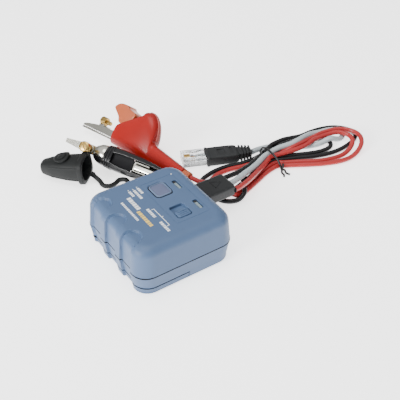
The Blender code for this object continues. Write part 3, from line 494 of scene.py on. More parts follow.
def lower_shell(rim_z):
    """The lower half, as high as rim_z."""
    def inset_at(z):
        return low_inset * (1 - (z - FLOOR_FILLET) / (SEAM_Z - GAP / 2 - FLOOR_FILLET))

    low_inset = FLOOR_INSET * 0.9
    rings = [case_ring(0, inset, max(2, 6.5 - (inset - 3) * 0.4), None) for inset in (27, 20, 12, 6)]
    drawn = FLOOR_INSET + FLOOR_FILLET
    for step in range(7):
        a = radians(15 * step)
        inset = drawn - (drawn - low_inset) * sin(a)
        rings.append(case_ring(FLOOR_FILLET * (1 - cos(a)), inset, CORNER_R - inset / 2, 0))
    for step in range(1, 7):
        z = FLOOR_FILLET + (rim_z - RIM_BEVEL - FLOOR_FILLET) * step / 6
        rings.append(case_ring(z, inset_at(z), CORNER_R, 0))
    rim, inside = inset_at(rim_z), WALL + FLOOR_INSET
    rings.append(case_ring(rim_z, rim + RIM_BEVEL, CORNER_R - 0.1, 0))
    return loft(rings + [inner_ring(z, inset, radius) for z, inset, radius in (
        (rim_z, rim + WALL, CORNER_R - WALL), (WALL + 1.4, inside, CORNER_R - WALL - 0.5),
        (WALL, inside + 1.4, CORNER_R - WALL - 1), (WALL, 20, 4))])


def frame_cutter(half_x, half_y, radius, width, low_z, high_z, centre):
    """A rectangular ring with round corners."""
    outer, inner = (rounded(half_x + grow, half_y + grow, radius + grow, 5)
                    for grow in (width / 2, -width / 2))
    edges = ((outer, low_z), (outer, high_z), (inner, high_z), (inner, low_z))
    return loft([[(centre[0] + x, centre[1] + y, z) for x, y in line] for line, z in edges], closed=True)


def joint_line(name, low_z, high_z, outer, inner):
    """A dark band round the case that shows in a joint."""
    return solid(name, loft([case_ring(z, inset, CORNER_R - trim, 0) for z, inset, trim in (
        (low_z, outer, 0.3), (high_z, outer, 0.3), (high_z, inner, 1.5), (low_z, inner, 1.5))], closed=True),
        FLAT_BLACK)


def cut(shape):
    return solid("cut", shape)


def build_housing():
    """Two shells, the battery door and the dark joint lines between them."""
    top = solid("housing_top", upper_shell(), BLUE)
    well_x, well_y, well_depth = SLIDE_WELL
    carve(top, cut(block((well_x + 3, well_y + 3, well_depth + 1),
                         (*SLIDE_AT, CASE_H - 0.6 - (well_depth + 1) / 2))), add=True)
    button_x, button_y = (half + 0.5 for half in BUTTON_HALF)
    light_x, light_y = (half + 0.3 for half in LIGHT_HALF)
    relief_size = (RELIEF_HALF[0] * 2 + 0.6, 8, RELIEF_HALF[1] * 2 + 0.6)
    relief_at = (RELIEF_X, 30, RELIEF_Z)
    carve(top,
          cut(slab([(CASE_H - 4, button_x, button_y, 2.6), (CASE_H - 0.5, button_x, button_y, 2.6),
                    (CASE_H + 0.3, button_x + 0.8, button_y + 0.8, 3.2)], BUTTON_AT)),
          cut(slab([(CASE_H - WELL_FLOOR, well_x / 2, well_y / 2, 1.5),
                    (CASE_H - 0.25, well_x / 2, well_y / 2, 1.5),
                    (CASE_H + 0.25, well_x / 2 + 0.5, well_y / 2 + 0.5, 1.9)], SLIDE_AT)),
          cut(block((7.6, 3.2, 4), (*SLIDE_AT, CASE_H - well_depth - 1))),
          cut(frame_cutter(19.3, 10.25, 1.2, 0.5, CASE_H - 0.1, CASE_H + 1, (0, 10.25))),
          cut(block(relief_size, relief_at)),
          *(cut(slab([(z, light_x, light_y, 0.7) for z in (CASE_H - 4, CASE_H + 1)], (x, LIGHT_Y)))
            for x in LIGHT_X))
    piece(top, "blue_plastic", "top_cover", degrees=32)

    bottom = solid("housing_bottom", lower_shell(SEAM_Z - GAP / 2), BLUE)
    reach = CASE_Y / 2 + 2 + DOOR_BACK_Y + GAP
    carve(bottom, cut(block((CASE_X + 4, reach, DOOR_H + GAP + 2),
                            (0, DOOR_BACK_Y + GAP - reach / 2, (DOOR_H + GAP - 2) / 2))),
          cut(block(relief_size, relief_at)),
          *(cut(rod(2.8, 2.4, (x, 20.5, -0.2), (0, 0, 1))) for x in (-21, 21)))
    piece(bottom, "blue_plastic", "bottom_cover", degrees=32)

    door = solid("door_shell", lower_shell(DOOR_H), BLUE)
    piece(joint_line("seam_line", SEAM_Z - 0.36, SEAM_Z + 0.36, -0.02, 1.5), "dark_plastic")
    door_line = joint_line("door_line", DOOR_H + 0.02, DOOR_H + 0.55, 0.86, 2.7)
    carve(door_line, cut(block((80, 60, 4), (0, 30.3, DOOR_H))))
    piece(door_line, "dark_plastic")
    for side in (-1, 1):
        line = pillow(0.9, DOOR_H + 0.3, 0.7, 0.13, 0.1, 0.05, (side * 29.15, DOOR_BACK_Y + GAP / 2))
        piece(solid("door_end_line_%d" % (side + 2), line, FLAT_BLACK), "dark_plastic")
    grips = [cut(block((14, 0.8, 1), (0, -19 + 1.8 * k, -0.1))) for k in range(5)]
    carve(door, cut(block((CASE_X + 4, CASE_Y, 20), (0, DOOR_BACK_Y + CASE_Y / 2, 5))), *grips)
    piece(door, "blue_plastic", "battery_door", body="battery_door", degrees=32)


def build_controls():
    """Power button with its rim and a dark ring in its gap as painted shade, slide knob with ridges, and the
    two light windows with a dark strip at one end of each as painted shade.
    """
    half_x, half_y = BUTTON_HALF
    rim = solid("button_rim", pillow(CASE_H - 3.2, CASE_H + 0.2, half_x, half_y, 2.3, 0.35, BUTTON_AT), RIM)
    carve(rim, cut(slab([(CASE_H - 0.15, half_x - 0.6, half_y - 0.6, 1.8),
                         (CASE_H + 1, half_x - 0.5, half_y - 0.5, 1.8)], BUTTON_AT)))
    piece(rim, "lilac_plastic", "power_button", body="power_button")
    wide, deep = half_x - 0.75, half_y - 0.75
    levels = [(CASE_H - 0.6, wide, deep, 1.6)]
    for k in range(9):
        share = k / 8
        levels.append((CASE_H - 0.2 + 0.3 * sin(pi / 2 * share), wide - 0.05 - (wide - 0.8) * share ** 2,
                       deep - 0.05 - (deep - 0.7) * share ** 2, max(1.6 - share * 1.1, 0.4)))
    # a dark ring down in the gap round the button: painted shade where the gap falls into shadow
    gap_shade = frame_cutter(half_x + 0.26, half_y + 0.26, 2.5, 0.36, CASE_H - 1.5, CASE_H - 0.3, BUTTON_AT)
    piece(solid("button_gap_shade", gap_shade, DARK), "dark_plastic")
    piece(solid("button_insert", slab(levels, BUTTON_AT), LILAC), "lilac_plastic", body="power_button")

    knob = solid("slide_grip", pillow(CASE_H - WELL_FLOOR + 0.15, CASE_H + 0.2, *KNOB_HALF, 1.1, 0.5,
                                      (KNOB_X, SLIDE_AT[1])), BLUE)
    carve(knob, cut(block((2, 2.2, 4.4), (KNOB_X, SLIDE_AT[1], CASE_H - 3.6))), add=True)
    piece(knob, "lilac_plastic", "slide_knob", body="slide_knob")
    for index in (-1, 0, 1):
        ridge = pillow(CASE_H - 0.3, CASE_H + 0.5, 0.3, KNOB_HALF[1] - 1.2, 0.28, 0.22,
                       (KNOB_X + index * 1.4, SLIDE_AT[1]), turns=3)
        piece(solid("slide_ridge_%d" % (index + 2), ridge, BLUE), "lilac_plastic", body="slide_knob")
    for side, x in zip(("left", "right"), LIGHT_X):
        lens = pillow(CASE_H - 2.3, CASE_H - 0.45, LIGHT_HALF[0] - 0.1, LIGHT_HALF[1] - 0.15, 0.6, 0.3,
                      (x, LIGHT_Y))
        piece(solid("light_lens_" + side, lens, LENS), "clear_plastic", "light_window_" + side)
        # a dark strip over the lens at its -X end: painted shade of the recess wall
        end_shade = pillow(CASE_H - 0.9, CASE_H - 0.35, 0.8, LIGHT_HALF[1] - 0.1, 0.4, 0.15,
                      (x - LIGHT_HALF[0] + 0.9, LIGHT_Y))
        piece(solid("light_end_shade_" + side, end_shade, DARK), "dark_plastic")


def print_mark(name, outline, material=WHITE_INK):
    """A thin printed mark on the roof."""
    shape = loft([[(x, y, z) for x, y in outline] for z in (CASE_H - 0.05, CASE_H + 0.04)])
    piece(solid(name, shape, material), "light_plastic")


def bar(x0, y0, x1, y1, width):
    along = Vector((x1 - x0, y1 - y0)).normalized()
    side = Vector((-along.y, along.x)) * width / 2
    first, last = Vector((x0, y0)), Vector((x1, y1))
    return [first + side, first - side, last - side, last + side]


def build_marks():
    """Plain blocks where the legends are, a bracket and a dot."""
    widths = (1.1, 1.5, 0.8, 1.3, 1, 1.6, 0.9, 1.2)
    for name, left, right, y, height in (
            ("legend_row_1", -18.2, -12.4, -2, 1.5), ("legend_row_2", -17.6, -9, -4.7, 1.5),
            ("legend_row_3", -18, -13, -7.4, 1.5), ("low_mark", 0.4, 8.4, -6.9, 1.6),
            ("high_mark", 13.2, 21.8, -6.6, 1.6), ("wide_mark", -13.4, -1.8, -10.6, 2.3),
            ("yellow_mark", -0.6, 13.6, -12, 2), ("thin_mark", -11.8, 5.8, -15.6, 1.3)):
        x, index = left, 0
        while x + 0.5 < right:
            end = min(x + widths[index % len(widths)] * height / 1.6, right)
            print_mark("%s_%d" % (name, index + 1), bar(x, y, end, y, height),
                       YELLOW_INK if name == "yellow_mark" else WHITE_INK)
            x, index = end + 0.35, index + 1
        if name.startswith("legend"):
            print_mark("legend_dot_" + name[-1], circle(left - 1.1, y, 0.35))
    for index, ends in enumerate(((2, -4, 18, -4), (2.17, -5.4, 2.17, -4), (17.83, -5.4, 17.83, -4),
                                  (10, -4, 10, -2.9)), 1):
        print_mark("bracket_line_%d" % index, bar(*ends, 0.35))
    print_mark("panel_dot", circle(-19.3, 20.4, 0.4))


def build_relief():
    """Moulded block that holds the leads, with a ring round each, a dot and an embossed arrow."""
    rings = []
    for y, grow in ((26.8, -0.2), (29.8, -0.2), (30.3, 0), (32.2, 0), (32.6, -0.1), (53.2, -0.1),
                    (54.1, -0.35), (54.6, -0.9), (54.8, -1.7)):
        outline = rounded(RELIEF_HALF[0] + grow, RELIEF_HALF[1] + grow, 2.3 + grow / 2, 8)
        rings.append([(RELIEF_X + x, y, RELIEF_Z + z) for x, z in outline])
    piece(solid("relief_block", loft(rings), RUBBER), "black_rubber", "strain_relief")
    top_z = RELIEF_Z + RELIEF_HALF[1] - 0.12
    dot = pillow(top_z - 0.3, top_z + 0.2, 0.7, 0.7, 0.7, 0.15, (RELIEF_X - 1.5, 37))
    piece(solid("relief_dot", dot, DARK), "black_rubber")
    arrow = [(RELIEF_X + x, y, top_z + 0.02) for x, y in ((-3.2, 43.5), (3.2, 43.5), (0, 49.5), (-3.2, 43.5))]
    for index in range(3):
        strand("relief_line_%d" % (index + 1), arrow[index:index + 2], 0.5, RUBBER, "black_rubber")
    for index, (x, radius) in enumerate(((-17.2, 1.4), (-11, 1.7), (-4.8, 1.4)), 1):
        ring = turned(((0, radius + 0.55), (0.35, radius + 0.55), (0.6, radius + 0.2)), (x, 54.7, RELIEF_Z),
                      (0, 1, 0))
        piece(solid("relief_ring_%d" % index, ring, RUBBER), "black_rubber")


# --- clips ---
# u runs from the jaws to the lead, v from the spine to the thumb tip, w across

PIVOT_U, PIVOT_V, JAW_TIP_U, TAPER_U, TAPER = 9, 4, -28.5, -13, 0.45
BOOT_POWER, CAVITY_POWER, COVER_POWER = 2.9, 2.7, 2.7      # how square the ovals are
TALL_BOOT = (              # u, lowest v, highest v, half width
    (2.2, -2.9, 12.6, 6.5), (6, -3.1, 15.6, 7.1), (12, -3.3, 20.4, 7.5), (19, -3.6, 26.3, 7.2),
    (24.5, -4.1, 26.2, 6.6), (29, -4.3, 22.4, 5.8), (32, -4.3, 16.5, 5.1), (33.6, -4.3, 9.8, 4.7),
    (38, -4.2, 8.5, 4.4), (50, -3.7, 6.6, 3.9), (62, -1.9, 4.5, 3.2))
TALL_CAVITY = (
    (-2, -1.4, 15, 5.2), (6, -1.7, 24, 5.9), (12, -2, 29, 6.2), (18, -2.3, 34, 6),
    (19.4, -2.4, 24.9, 5.9), (24.5, -2.8, 24.8, 5.3), (28.4, -3, 21, 4.5), (31, -3, 15, 3.9),
    (32.6, -3, 8.6, 3.6), (38, -2.9, 7.2, 3.2), (50, -2.4, 5.2, 2.7), (58, -0.6, 3.4, 2))
SLIM_BOOT = (
    (0, -3.2, 7, 6.6), (6, -3.8, 9, 7.3), (14, -4.2, 10, 7.4), (24, -4.3, 10, 7),
    (32, -4.3, 9.4, 6.1), (40, -4.2, 8, 5.2), (50, -3.7, 6.6, 4.2), (62, -1.9, 4.5, 3.2))
SLIM_CAVITY = (
    (-2, -2, 14, 5.4), (6, -2.6, 15, 6.1), (15, -3, 15, 6.2), (16.4, -3, 8.6, 6.1),
    (24, -3.1, 8.6, 5.7), (32, -3.1, 8, 4.8), (40, -3, 6.6, 3.9), (50, -2.5, 5.2, 2.9),
    (58, -0.6, 3.4, 2))
TALL_LEVER = ((5.2, 8.2), (3.4, 15), (2.4, 19.6), (3.4, 19.9), (4.6, 15.2), (7.6, 9.4))
TALL_TIP = ((-6.2, 19.4), (-5.4, 22.2), (-2.2, 24.2), (3.2, 24.6), (5.4, 23.2), (11.8, 21.4), (11.2, 17.6),
            (6.4, 12.6), (1.6, 12), (-1, 15.6))
TALL_TIP_SLOT = ((1.2, 19.9), (5, 20.4), (5.6, 15.2), (9.4, 9.4), (3.6, 9.4), (2.4, 15))
SLIM_LEVER = ((5.2, 7.4), (5, 10.4), (5.4, 10.8), (7, 10.8), (7.4, 10.4), (8.4, 8.6))
SLIM_TIP = ((-2, 9.2), (-2, 10.6), (-0.6, 12.2), (3, 12.9), (7, 12.9), (10.4, 12.2), (11.8, 10.8),
            (11.8, 9.2), (9, 8.8), (1, 8.8))
SLIM_TIP_SLOT = ((4.4, 11.1), (7.9, 11.1), (9.2, 8), (4.4, 6))
SHROUD = ((-8, 4.2), (-5.4, 5.7), (-2.2, 6.4), (-0.3, 6.3))     # u, half width
# the second and third values place the dark sheet of painted shade inside the slit
SHROUD_V, SHADE_SHEET_V, SHADE_SHEET_ENDS, RED_SCREW_V = 2.6, -2.9, (4.6, 21.6), 8.2
SPINE_SLIT = ((4.6, 2.9), (12, 3.9), (28, 3.7), (40, 3), (50, 1.7))
RED_CLIP = {
    "at": (-102.6, 27, 5.7), "heading": 15, "tilt": 0, "lean": 50, "boot": TALL_BOOT,
    "cavity": TALL_CAVITY, "lever": TALL_LEVER, "tip": TALL_TIP, "tip_slot": TALL_TIP_SLOT,
    "slit": None, "screw": ((-15.6, RED_SCREW_V, 0), (-7, RED_SCREW_V, 0)), "head": 1}
BLACK_CLIP = {
    "at": (-78.85, 9.4, 13.1), "heading": 30.7, "tilt": 6.6, "lean": -43, "boot": SLIM_BOOT,
    "cavity": SLIM_CAVITY, "lever": SLIM_LEVER, "tip": SLIM_TIP, "tip_slot": SLIM_TIP_SLOT,
    "slit": SPINE_SLIT, "screw": ((-12, -9.9, 0), (-12, -2.2, 0)), "head": 1.2}


def clip_matrix(pose):
    heading, tilt, lean = (radians(pose[key]) for key in ("heading", "tilt", "lean"))
    along = Vector((cos(heading) * cos(tilt), sin(heading) * cos(tilt), -sin(tilt)))
    aside = Vector((-sin(heading), cos(heading), 0))
    rise = aside * cos(lean) + along.cross(aside) * sin(lean)
    matrix = Matrix((along, rise, along.cross(rise))).transposed().to_4x4()
    matrix.translation = Vector(pose["at"]) * MM
    return matrix


def squared(value, power):
    """A sine or cosine pushed towards 1, as on a squarish oval."""
    return copysign(abs(value) ** (2 / power), value)


def oval(half_v, half_w, count, power):
    """Points of a rounded oval; a higher power is squarer."""
    return [(half_v * squared(cos(tau * k / count), power),
             half_w * squared(sin(tau * k / count), power)) for k in range(count)]


def sleeve(sections, power, count):
    return loft([[(u, (low + high) / 2 + v, w) for v, w in oval((high - low) / 2, half, count, power)]
                 for u, low, high, half in eased(sections, 6)])


def plate(outline, half):
    return loft([[(u, v, w) for u, v in outline] for w in (-half, half)])


def toothed(start, end, count, depth):
    """Points of a saw-tooth line from start to end, its teeth towards depth."""
    return [(start[0] + (end[0] - start[0]) * t, start[1] + (end[1] - start[1]) * t + rise)
            for t, rise in (((k + share) / count, rise) for k in range(count)
                            for share, rise in ((0.08, 0), (0.5, depth), (0.92, 0)))]


def narrowed(shape):
    """Taper the jaws towards their tips."""
    for vert in shape.verts:
        if vert.co.x < TAPER_U:
            vert.co.z *= TAPER + (1 - TAPER) * (vert.co.x - JAW_TIP_U) / (TAPER_U - JAW_TIP_U)
    return shape


def hood(rows, lift, low, high):
    """A curved sheet over the spine between two angles."""
    angles = [radians(low + (high - low) * k / 22) for k in range(23)]
    return loft([[(u, SHROUD_V - r * cos(a), r * sin(a))
                  for r, turns in ((wide + lift, angles), (wide + lift - 0.5, angles[::-1])) for a in turns]
                 for u, wide in eased(rows, 4)])


def slim_section(u):
    """Middle v, half v and half w of the slim sleeve at u."""
    row = next((r for r in eased(SLIM_BOOT, 12) if r[0] >= u), SLIM_BOOT[-1])
    return (row[1] + row[2]) / 2, (row[2] - row[1]) / 2, row[3]


def build_slit(prefix, local, slit, material, slot, matrix):
    """The slit along the slim sleeve: a dark sheet inside it as painted shade, bright shroud, raised lips and
    ribs across the mouth.
    """
    # a flat black channel inside the slit: painted shade that darkens the sleeve's hollow
    shade_sheet = []
    for u, half in eased(slit, 4):
        if SHADE_SHEET_ENDS[0] <= u <= SHADE_SHEET_ENDS[1]:
            wide, angles = half + 0.7, [radians(15 * k - 90) for k in range(13)]
            shade_sheet.append([(u, SHADE_SHEET_V + deep * cos(a), reach * sin(a)) for deep, reach, turns in (
                (1.75, wide, angles), (1.25, wide - 0.5, angles[::-1])) for a in turns])
    piece(local("slit_shade_sheet", loft(shade_sheet), FLAT_BLACK), "dark_plastic", degrees=50)
    piece(local("jaw_shroud", hood(SHROUD, 0, -86, 86), NICKEL), "nickel", degrees=45)
    piece(local("shroud_guard", hood(SHROUD, 0.45, -88, -20), material), slot, degrees=45)
    for side in (-1, 1):
        path = []
        for u, half in eased(slit, 5):
            w = side * (half + 0.42)
            mid, half_v, half_w = slim_section(u)
            drop = (1 - min(abs(w) / half_w, 1) ** BOOT_POWER) ** (1 / BOOT_POWER)
            path.append((u, mid - half_v * drop + 0.12, w))
        strand(prefix + "_slit_lip_%d" % (side + 2), path, 0.95, material, slot, matrix=matrix)
    for index, u in enumerate((1.2, 3, 4.8), 1):
        mid, half_v, half_w = slim_section(u)
        arch = []
        for k in range(25):
            a = radians(-96 + 8 * k)
            arch.append((u, mid - half_v * 0.99 * squared(cos(a), BOOT_POWER),
                         half_w * 0.99 * squared(sin(a), BOOT_POWER)))
        strand(prefix + "_mouth_rib_%d" % index, arch, 1.1, material, slot, matrix=matrix)


def build_clip(prefix, pose, boot_material, boot_slot, tip_material, tip_slot):
    matrix = clip_matrix(pose)
    slim = pose["slit"] is not None
    jaw_body = prefix + "_jaw"

    def local(name, shape, material=None):
        return solid(prefix + "_" + name, shape, material, matrix)

    def extra(shape):
        return local("extra", shape)

    # the vinyl sleeve
    boot = local("sleeve", sleeve(pose["boot"], BOOT_POWER, 56), boot_material)
    hollows = [sleeve(pose["cavity"], CAVITY_POWER, 48)]
    if slim:
        hollows.append(loft([[(u, v, w) for v, w in ((-9, -half), (0.4, -half), (0.4, half), (-9, half))]
                             for u, half in eased(pose["slit"], 4)]))
    carve(boot, *map(extra, hollows))
    piece(boot, boot_slot, prefix + "_boot", degrees=50)
    if slim:
        build_slit(prefix, local, pose["slit"], boot_material, boot_slot, matrix)
    else:
        # lips where the sleeve was slit, in a paler red that is painted highlight
        for side in (-1, 1):
            path = [(u, high - 0.05, side * 0.75) for u, _, high, _ in eased(TALL_BOOT, 6) if 19.5 <= u <= 33]
            strand(prefix + "_spine_lip_%d" % (side + 2), path, 1.1, RED_LIP_HIGHLIGHT, boot_slot, matrix=matrix)

    # lower jaw: trough with teeth, ears round the pivot and a crimp barrel
    low_outline = ((JAW_TIP_U, -1.9), (JAW_TIP_U, -0.95), (TAPER_U, -0.33), (-2, 0.1), (30, 0.1), (30, -0.9),
                   (-2, -0.9), (TAPER_U, -1.3))
    lower = local("lower_jaw_plate", narrowed(plate(low_outline, 3)), NICKEL)
    adds = [plate(((4, -0.8), (15, -0.8), (15, 0.1), (4, 0.1)), 4.05)]
    teeth = ((JAW_TIP_U + 0.6, -1), *toothed((JAW_TIP_U + 0.6, -0.9), (-12, -0.45), 9, 0.45), (-12, -1.2))
    for side in (-1, 1):
        ear = plate(((4, -0.6), (15, -0.6), (14.6, 3), (13, 5.6), (11, 6.4), (7, 6.4), (5, 5.6),
                     (4.2, 3)), 0.45)
        adds += [moved(ear, (0, 0, side * 3.6)), narrowed(moved(plate(teeth, 0.35), (0, 0, side * 2.62)))]
    crimp = ((0, 2.4), (0.3, 3, 1), (20, 2.8, 1), (20.4, 2.4), (25, 2.1))
    adds.append(turned(crimp, (21, 0.7, 0), (1, 0, 0), sides=26, knurl=0.2))
    if slim:
        adds.append(rod(2.9, 0.9, (-12, -2.1, 0), (0, 1, 0), sides=32))
    carve(lower, *map(extra, adds), add=True)
    pivot_hole = (1.3, 16, (PIVOT_U, PIVOT_V, -8), (0, 0, 1))
    carve(lower, extra(rod(*pivot_hole)))
    soften(lower, 0.2, 3)
    piece(lower, "nickel", prefix + "_lower_jaw", degrees=40)

    # upper jaw: bent channel with teeth, the lever into the thumb tip and a lug under the tall clip's screw
    up_outline = [(JAW_TIP_U, -0.5), (JAW_TIP_U, 0.9), (-25.6, 2), (-17, 4), (-9, 4.9), (-2, 5.2),
                  *pose["lever"], (12.4, 8.2), (12.4, 1.4), (-1, 0.6)]
    up_outline += toothed((-12, 0.35), (JAW_TIP_U + 0.6, -0.35), 9, 0.5)
    upper = local("upper_jaw_plate", narrowed(plate(up_outline, 2.4)), NICKEL)
    if not slim:
        lug = (rod(2.5, 1.2, (-12.4, RED_SCREW_V, 0), (1, 0, 0), sides=32),
               block((1.2, 4.4, 3.6), (-11.8, 6, 0)), block((8, 2.7, 3.2), (-11.2, 4.1, 0)))
        carve(upper, *map(extra, lug), add=True)
        carve(upper, extra(rod(1.65, 3, (-13.2, RED_SCREW_V, 0), (1, 0, 0))))
    channel = plate(((JAW_TIP_U + 2.5, -3), (JAW_TIP_U + 2.5, 0.4), (-17, 3.2), (-9, 4.1), (-2, 4.4),
                     (6, 6.9), (14, 6.9), (14, -3)), 1.7)
    carve(upper, extra(narrowed(channel)), extra(rod(*pivot_hole)))
    soften(upper, 0.15, 2)
    piece(upper, "nickel", prefix + "_upper_jaw", body=jaw_body, degrees=40)

    # pivot pin with two domed heads, and a torsion spring of round wire
    pin = turned(((0, 0.9), (0.15, 1.45), (0.4, 1.6), (0.5, 1), (8.7, 1), (8.8, 1.6), (9.05, 1.45),
                  (9.2, 0.9)), (PIVOT_U, PIVOT_V, -4.6), (0, 0, 1))
    piece(local("pivot_rivet", pin, STEEL), "steel", prefix + "_pivot_pin")
    coil = [(PIVOT_U + 1.95 * cos(a), PIVOT_V + 1.95 * sin(a), -1 + 2 * k / 60)
            for k, a in ((k, tau * 2.5 * k / 60 + pi) for k in range(61))]
    strand(prefix + "_spring_coil", coil, 0.72, STEEL, "steel", prefix + "_jaw_spring", matrix=matrix)

    # thumb tip
    closed = [pose["tip"][-1], *pose["tip"], *pose["tip"][:2]]
    tip = local("thumb_grip", plate(eased(closed, 4)[4:-8], 4.9), tip_material)
    carve(tip, extra(plate(pose["tip_slot"], 2.75)))
    soften(tip, 1.25, 5, degrees=40)
    piece(tip, tip_slot, prefix + "_thumb_tip", body=jaw_body, degrees=45)

    # brass terminal screw: knurled head with a slot, and a shank
    start, end = (Vector(point) for point in pose["screw"])
    length, axis = (end - start).length, (end - start).normalized()
    profile = [(0, 1.2), (0.12, 2.3), (0.4, 2.7), (0.55, 2.8, 1), (4.6, 2.8, 1), (4.8, 2.6), (4.9, 1.4),
               (length - 0.4, 1.4), (length, 1.1)]
    profile = [(along, radius * pose["head"], *mark) for along, radius, *mark in profile]
    screw = local("terminal_head", turned(profile, start, axis, sides=72, knurl=0.1), BRASS)
    side = axis.orthogonal().normalized()
    groove = block((0.9, 0.7, 6), (0, 0, 0))
    groove.transform(Matrix((axis, side, axis.cross(side))).transposed().to_4x4())
    carve(screw, extra(moved(groove, start + axis * 0.2)))
    piece(screw, "brass", prefix + "_terminal_screw", body=prefix + "_screw", degrees=30)

    # ribbed collar at the wire end
    rows = ((0, 2.6), (0.25, 3.1), (1, 3.05), (1.15, 2.8), (1.6, 2.8), (1.75, 3), (2.5, 2.96), (2.65, 2.7),
            (3.1, 2.7), (3.25, 2.9), (4, 2.84), (4.15, 2.6), (4.6, 2.6), (4.75, 2.74), (5.1, 2.7), (5.3, 2.3))
    piece(local("lead_collar", turned(rows, (62.3, 1.4, 0), (1, 0, 0), sides=36), tip_material), tip_slot,
          prefix + "_end_collar")


# --- jaw cover and strap ---

PAD_AT, PAD_R = 15, 7.6
COVER_OPEN, COVER_TIP = Vector((-78.3, -4.6, 9.4)), Vector((-99.6, -25.6, 6.2))
COVER_STRAP = ((-76.4, -2, 4.2), (-73.4, -1.2, 3.4), (-70.2, -0.4, 2.4), (-66.2, -0.2, 1.5), (-63.6, 2.4, 1.5),
               (-63.8, 6.6, 1.5), (-65.2, 10.4, 1.9), (-63, 13.4, 2.4), (-59.8, 13.6, 2.2), (-57.2, 11.6, 1.6))


def build_jaw_cover():
    """Rubber cover: squared rim, tapered body, side ribs, an oval pad on top and the strap."""
    along = (COVER_TIP - COVER_OPEN).normalized()
    length = (COVER_TIP - COVER_OPEN).length
    side = along.cross(Vector((0, 0, 1))).normalized()
    rise = side.cross(along)

    def place(distance, across, up):
        return COVER_OPEN + along * distance + side * across + rise * up

    def rings(rows, power):
        return [[place(distance, w, v) for v, w in oval(half_rise, half_side, 56, power)]
                for distance, half_side, half_rise in rows]

    rim = ((0, 9.5, 8.1), (0.3, 9.95, 8.5), (2.7, 10.1, 8.7), (3.1, 9.9, 8.5))
    body = eased([(3.4, 8.9, 7.65), (7, 8.8, 7.5), (12, 8.4, 7.2), (17, 7.6, 6.6), (22, 6.6, 6),
                  (length - 4, 5.3, 5.1), (length - 1.6, 4.5, 4.4), (length - 0.5, 3.6, 3.5),
                  (length, 2.2, 2.2)], 5)
    cover = solid("cover_body", loft(rings(rim, 3.4) + rings(body, COVER_POWER)), COVER_RUBBER)
    hollow = eased([(-1, 8.4, 7), (2.6, 8, 6.7), (12, 7.2, 6), (22, 5.4, 4.8), (length - 3, 3.4, 3.3)],
                   5)
    carve(cover, cut(loft(rings(hollow, 2.4))))
    piece(cover, "black_rubber", "jaw_cover", degrees=45)

    def surface(distance, angle, lift):
        """A point on the cover, the angle measured from the top."""
        row = next((r for r in body if r[0] >= distance), body[-1])
        return place(distance, (row[1] + lift) * squared(sin(angle), COVER_POWER),
                     (row[2] + lift) * squared(cos(angle), COVER_POWER))

    for index, degrees in enumerate((-62, 62, -118, 118), 1):
        path = [surface(3 + k * 1.5, radians(degrees), -0.12) for k in range(14)]
        strand("cover_rib_%d" % index, path, 1, COVER_RUBBER, "black_rubber")
    # oval pad in two steps, each a stack of shrinking ovals laid on the upper surface
    for name, half_long, half_wide, count, rows in (
            ("cover_pad", 4.9, 4, 36, ((-0.6, 0), (1.3, 0), (1.65, 0.3), (1.8, 0.9))),
            ("cover_pad_step", 2.6, 2, 30, ((1.5, 0), (2, 0), (2.15, 0.35)))):
        pad = loft([[surface(PAD_AT + (half_long - shrink) * cos(a), (half_wide - shrink) * sin(a) / PAD_R,
                             lift) for a in (tau * k / count for k in range(count))] for lift, shrink in rows])
        piece(solid(name, pad, COVER_RUBBER), "black_rubber", degrees=40)
    strand("cover_tether", routed(COVER_STRAP, 0.6), 3, COVER_RUBBER, "black_rubber", "cover_strap",
           resolution=5)
    lug = turned(((0, 1.3), (0.3, 1.75), (2, 1.75), (2.4, 1.3)), (-77.6, -2.6, 4.6), (1.2, 0.9, -0.5))
    piece(solid("tether_lug", lug, COVER_RUBBER), "black_rubber")


# --- plug ---

PLUG_AT, PLUG_HEADING = (-53.6, 67.4), 68.4
PLUG_L, PLUG_W, PLUG_H, PLUG_LOW_Z = 15, 11.7, 5.5, 1.8
BOOT_L, BOOT_W, BOOT_H, TAIL_L = 22, 13.2, 7.4, 8.5
CONTACT_Y, CONTACT_STEP = -1.53, 1.02


